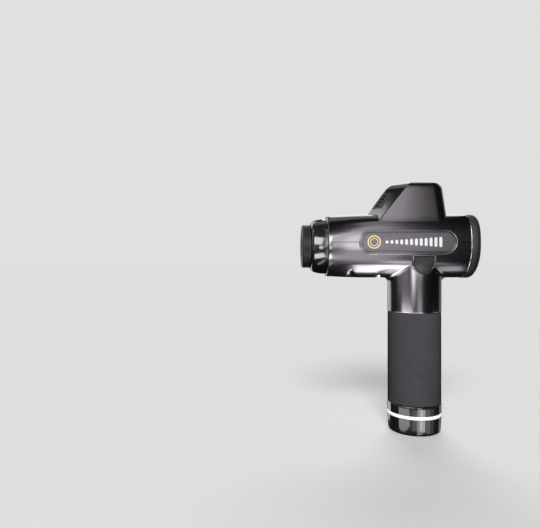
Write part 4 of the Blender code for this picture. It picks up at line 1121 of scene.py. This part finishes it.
def base_cup():
    """The base, with a shallow groove round its foot and a hole for the jack."""
    rim, floor, foot, edge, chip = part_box("base_cap")[1].z, 0.003, 0.0242, 0.0025, 0.0002
    profile = [(0.0, floor), (SLEEVE_BORE, floor), (SLEEVE_BORE, rim)]
    profile += [(HANDLE_RADIUS - chip, rim), (HANDLE_RADIUS, rim - chip)]
    profile += [(foot - inward, back) for back, inward in rounding(edge, 12)]
    profile += [(0.0200, 0.0), (0.0197, 0.0003), (0.0191, 0.0003), (0.0188, 0.0), (0.0, 0.0)]
    cap = turned("cap", profile, FINE)
    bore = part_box("charging_jack")[1].y + GAP
    hole = [(bore + 0.0008, -0.001), (bore + 0.0008, 0.0), (bore, 0.0006), (bore, 0.012)]
    cap = cut(cap, turned("hole", hole, ROUND, place=(node_centre("charging_jack").x, 0.0, 0.0)))
    dress(cap, "base_cup", "gloss_black", "battery_handle", ["base_cap"])


def jack():
    low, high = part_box("charging_jack")
    place = (node_centre("charging_jack").x, 0.0, 0.0)
    radius, bore, end = high.y, 0.0032, high.z - 0.0012
    profile = [(0.0, high.z), (radius - 0.0003, high.z), (radius, high.z - 0.0003), (radius, low.z + 0.0002)]
    profile += [(radius - 0.0002, low.z), (bore + 0.0004, low.z), (bore, low.z + 0.0004)]
    profile += [(bore, end), (0.0, end)]
    socket = turned("socket", profile, ROUND, place=place)
    dress(socket, "jack_socket", "satin_black", "battery_handle", ["charging_jack"])

    tip, point, thick = low.z + 0.0012, 0.0004, 0.0007
    profile = [(0.0, tip), (point, tip), (thick, tip + 0.0006), (thick, end), (0.0, end)]
    pin = turned("pin", profile, SMALL, place=place)
    dress(pin, "jack_pin", "bronze", "battery_handle")


def pack_cap():
    """The battery's top, with three grooves and a contact track in each."""
    low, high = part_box("battery_cap")
    radius, top, roof, edge = high.y, high.z, high.z - 0.003, 0.001
    bed = top - 0.0004
    profile = [(0.0, top), (0.0040, top)]
    for inner in CONTACT_RINGS:
        outer = inner + CONTACT_WIDTH
        profile += [(inner, top), (inner, bed), (outer, bed), (outer, top)]
    profile += [(radius - edge, top), (radius, top - edge), (radius, low.z), (TUBE_BORE, low.z)]
    profile += [(TUBE_BORE, roof), (0.0, roof)]
    dress(turned("cap", profile, FINE), "contact_cap", "natural_plastic", "battery_handle", ["battery_cap"])
    side, foot, face = 0.0002, top - 0.0006, top - 0.0001
    for number, ring in enumerate(CONTACT_RINGS, 1):
        inner, outer = ring + side, ring + CONTACT_WIDTH - side
        profile = [(inner, foot), (outer, foot), (outer, face), (inner, face)]
        track = turned("track", profile, ROUND, True, soft=0.0002)
        dress(track, f"contact_track_{number}", "bronze", "battery_handle")


def frame_finishes():
    """Gives every CAD node the finish of its own slot."""
    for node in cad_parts.values():
        slot_name = node.data.materials[0].name.split(".")[0]
        node.data.materials[0] = FINISHES[slot_name]


# Stage, lights and camera


AMBIENT, BACKDROP, DARK_ROOM = 0.06, 0.745, 0.012
PAPER_WHITE = (1.0, 0.997, 0.99, 1.0)
NOSE_SEES = (-0.090, -0.026, 0.172)
CARDS = (  # name, seen from, distance, azimuth, elevation, width and height in degrees, radiance
    ("front_card", BARREL_AXIS, 1.3, 8, 11, 16, 19, 2.5),
    ("nose_card", BARREL_AXIS, 1.3, -3, 14, 8, 40, 1.2),
    ("front_low_card", BARREL_AXIS, 1.3, 8, -32, 18, 41, 1.1),
    ("front_high_card", BARREL_AXIS, 1.3, 6, 34, 14, 30, 0.9),
    ("facet_card", BARREL_AXIS, 1.3, 16, 34, 7, 30, 0.30),
    ("top_card", BARREL_AXIS, 1.3, 13, 62, 14, 24, 0.60),
    ("neck_card", BARREL_AXIS, 1.3, -17, -5, 13, 11, 4.2),
    ("left_card", BARREL_AXIS, 1.3, -62, -5, 50, 12, 0.35),
    ("upper_lobe_card", NOSE_SEES, 1.3, -33, 22, 48, 30, 4.5),
    ("lower_lobe_card", NOSE_SEES, 0.22, -33, -42, 48, 20, 4.6),
    ("rear_side_card", BARREL_AXIS, 1.3, 126, 8, 26, 70, 0.28),
    ("rear_card", BARREL_AXIS, 1.3, 165, 14, 26, 60, 1.5),
    ("far_card", BARREL_AXIS, 1.3, -150, 10, 34, 70, 1.1),
    ("nose_side_card", BARREL_AXIS, 1.3, -98, 24, 16, 50, 0.8),
    ("far_top_card", BARREL_AXIS, 1.3, 180, 62, 40, 26, 0.28),
)
FACING_GUN, FACING_UP = (math.pi / 2, 0.0, 0.0), (math.pi, 0.0, 0.0)
NEAR_CARDS = (  # name, centre, turn, width and height, radiance
    ("front_strip_card", (-0.006, -0.180, 0.160), FACING_GUN, (0.112, 0.044), 2.2),
    ("under_left_card", (-0.040, -0.020, 0.085), FACING_UP, (0.024, 0.054), 4.0),
    ("under_neck_card", (-0.008, -0.020, 0.085), FACING_UP, (0.040, 0.054), 5.5),
    ("under_right_card", (0.050, -0.020, 0.100), FACING_UP, (0.030, 0.026), 1.1),
)
BASE_STRIPES = (  # a stretch of the base, left to right of its middle, and the radiance that it reflects
    (-0.0140, -0.0040, 1.35),
    (-0.0040, -0.0015, 0.2),
    (-0.0015, 0.0020, 0.5),
    (0.0020, 0.0060, 0.6),
    (0.0060, 0.0100, 2.4),
    (0.0100, 0.0145, 0.6),
    (0.0145, 0.0180, 0.2),
)
SUNS = (  # name, azimuth, elevation, spread in degrees, strength
    ("key_sun", -10, 38, 24, 3.9),
    ("back_sun", 170, 40, 40, 2.6),
    ("nose_sun", -110, 30, 40, 0.2),
)


def light(name, kind, place, turn, strength):
    lamp = bpy.data.lights.new(name, kind)
    lamp.energy = strength
    thing = bpy.data.objects.new(name, lamp)
    bpy.context.scene.collection.objects.link(thing)
    thing.location = place
    thing.rotation_euler = turn
    thing.visible_camera = False
    return thing


def card(name, place, turn, size, radiance):
    """A soft panel that shows in reflections and lights nothing else."""
    panel = light(name, "AREA", place, turn, radiance * size[0] * size[1] * math.pi)
    panel.data.shape = "RECTANGLE"
    panel.data.size, panel.data.size_y = size
    panel.visible_diffuse = False


def aimed(origin, azimuth, elevation, distance):
    """A point seen from origin at an azimuth from the camera's side, and the turn that faces back."""
    turn, rise = math.radians(azimuth), math.radians(elevation)
    flat = math.cos(rise)
    way = Vector((flat * math.sin(turn), -flat * math.cos(turn), math.sin(rise)))
    return Vector(origin) + way * distance, (-way).to_track_quat("-Z", "Y").to_euler()


def soft_sun(name, azimuth, elevation, spread, strength):
    place, turn = aimed(BARREL_AXIS, azimuth, elevation, 3.0)
    sun = light(name, "SUN", place, turn, strength)
    sun.data.angle = math.radians(spread)
    sun.visible_glossy = False


def base_stripes():
    """Low cards round the base, each where one stretch of its wall mirrors the camera's view."""
    distance, height, view_azimuth, view_elevation = 0.12, 0.045, -16.3, -17.0
    for number, (left, right, radiance) in enumerate(BASE_STRIPES, 1):
        first, last = (math.asin(x / HANDLE_RADIUS) for x in (left, right))
        middle = (first + last) / 2
        normal = middle + math.radians(view_azimuth)
        origin = (HANDLE_RADIUS * math.sin(normal), -HANDLE_RADIUS * math.cos(normal), 0.010)
        azimuth = 2 * math.degrees(middle) + view_azimuth
        place, turn = aimed(origin, azimuth, view_elevation, distance)
        width = (2 * distance + HANDLE_RADIUS) * (last - first)
        card(f"base_card_{number}", place, turn, (width, height), radiance)


def surroundings():
    """A pale backdrop for the camera, a dark room for reflections and a dim light for the rest."""
    world = bpy.data.worlds.new("studio")
    bpy.context.scene.world = world
    world.use_nodes = True
    nodes, links = world.node_tree.nodes, world.node_tree.links
    background = nodes["Background"]
    path = nodes.new("ShaderNodeLightPath")
    level = None
    for ray, strength in (("Is Camera Ray", BACKDROP), ("Is Glossy Ray", DARK_ROOM)):
        choice = nodes.new("ShaderNodeMix")
        links.new(path.outputs[ray], choice.inputs["Factor"])
        choice.inputs["A"].default_value = AMBIENT
        if level is not None:
            links.new(level, choice.inputs["A"])
        choice.inputs["B"].default_value = strength
        level = choice.outputs["Result"]
    links.new(level, background.inputs["Strength"])
    background.inputs["Color"].default_value = PAPER_WHITE


def studio():
    surroundings()
    sheet = bmesh.new()
    bmesh.ops.create_grid(sheet, x_segments=1, y_segments=1, size=40.0)
    floor = new_object("floor", sheet, (0.0, 0.0, -0.0002))
    floor.data.materials.append(floor_paper())
    floor.visible_glossy = False
    floor.visible_diffuse = False
    floor.visible_shadow = False

    for name, origin, distance, azimuth, elevation, width, height, radiance in CARDS:
        place, turn = aimed(origin, azimuth, elevation, distance)
        size = [2 * distance * math.tan(math.radians(angle / 2)) for angle in (width, height)]
        card(name, place, turn, size, radiance)
    base_stripes()
    for near_card in NEAR_CARDS:
        card(*near_card)
    for sun in SUNS:
        soft_sun(*sun)


def camera():
    lens = bpy.data.cameras.new("camera")
    lens.lens, lens.sensor_width = 32.93, 36.0
    lens.clip_start = 0.01
    eye = bpy.data.objects.new("camera", lens)
    bpy.context.scene.collection.objects.link(eye)
    eye.location = (-0.1385, -0.475, 0.1582)
    eye.rotation_euler = (math.pi / 2, 0.0, 0.0)
    bpy.context.scene.camera = eye
    bpy.context.scene.view_settings.view_transform = "Standard"


upper_shell()
lower_shell()
casing_screws()
vent_panel()
for side in (-1, 1):
    side_badge(side)
    neck_plug(side)
nose_cowl()
nose_bumper()
wiper_seal()
seam_ring()
rear_cover()
display()
keys()
plunger_shaft()
socket_o_ring()
pack_tube()
grip_cover()
collars()
base_cup()
jack()
pack_cap()
frame_finishes()
studio()
camera()
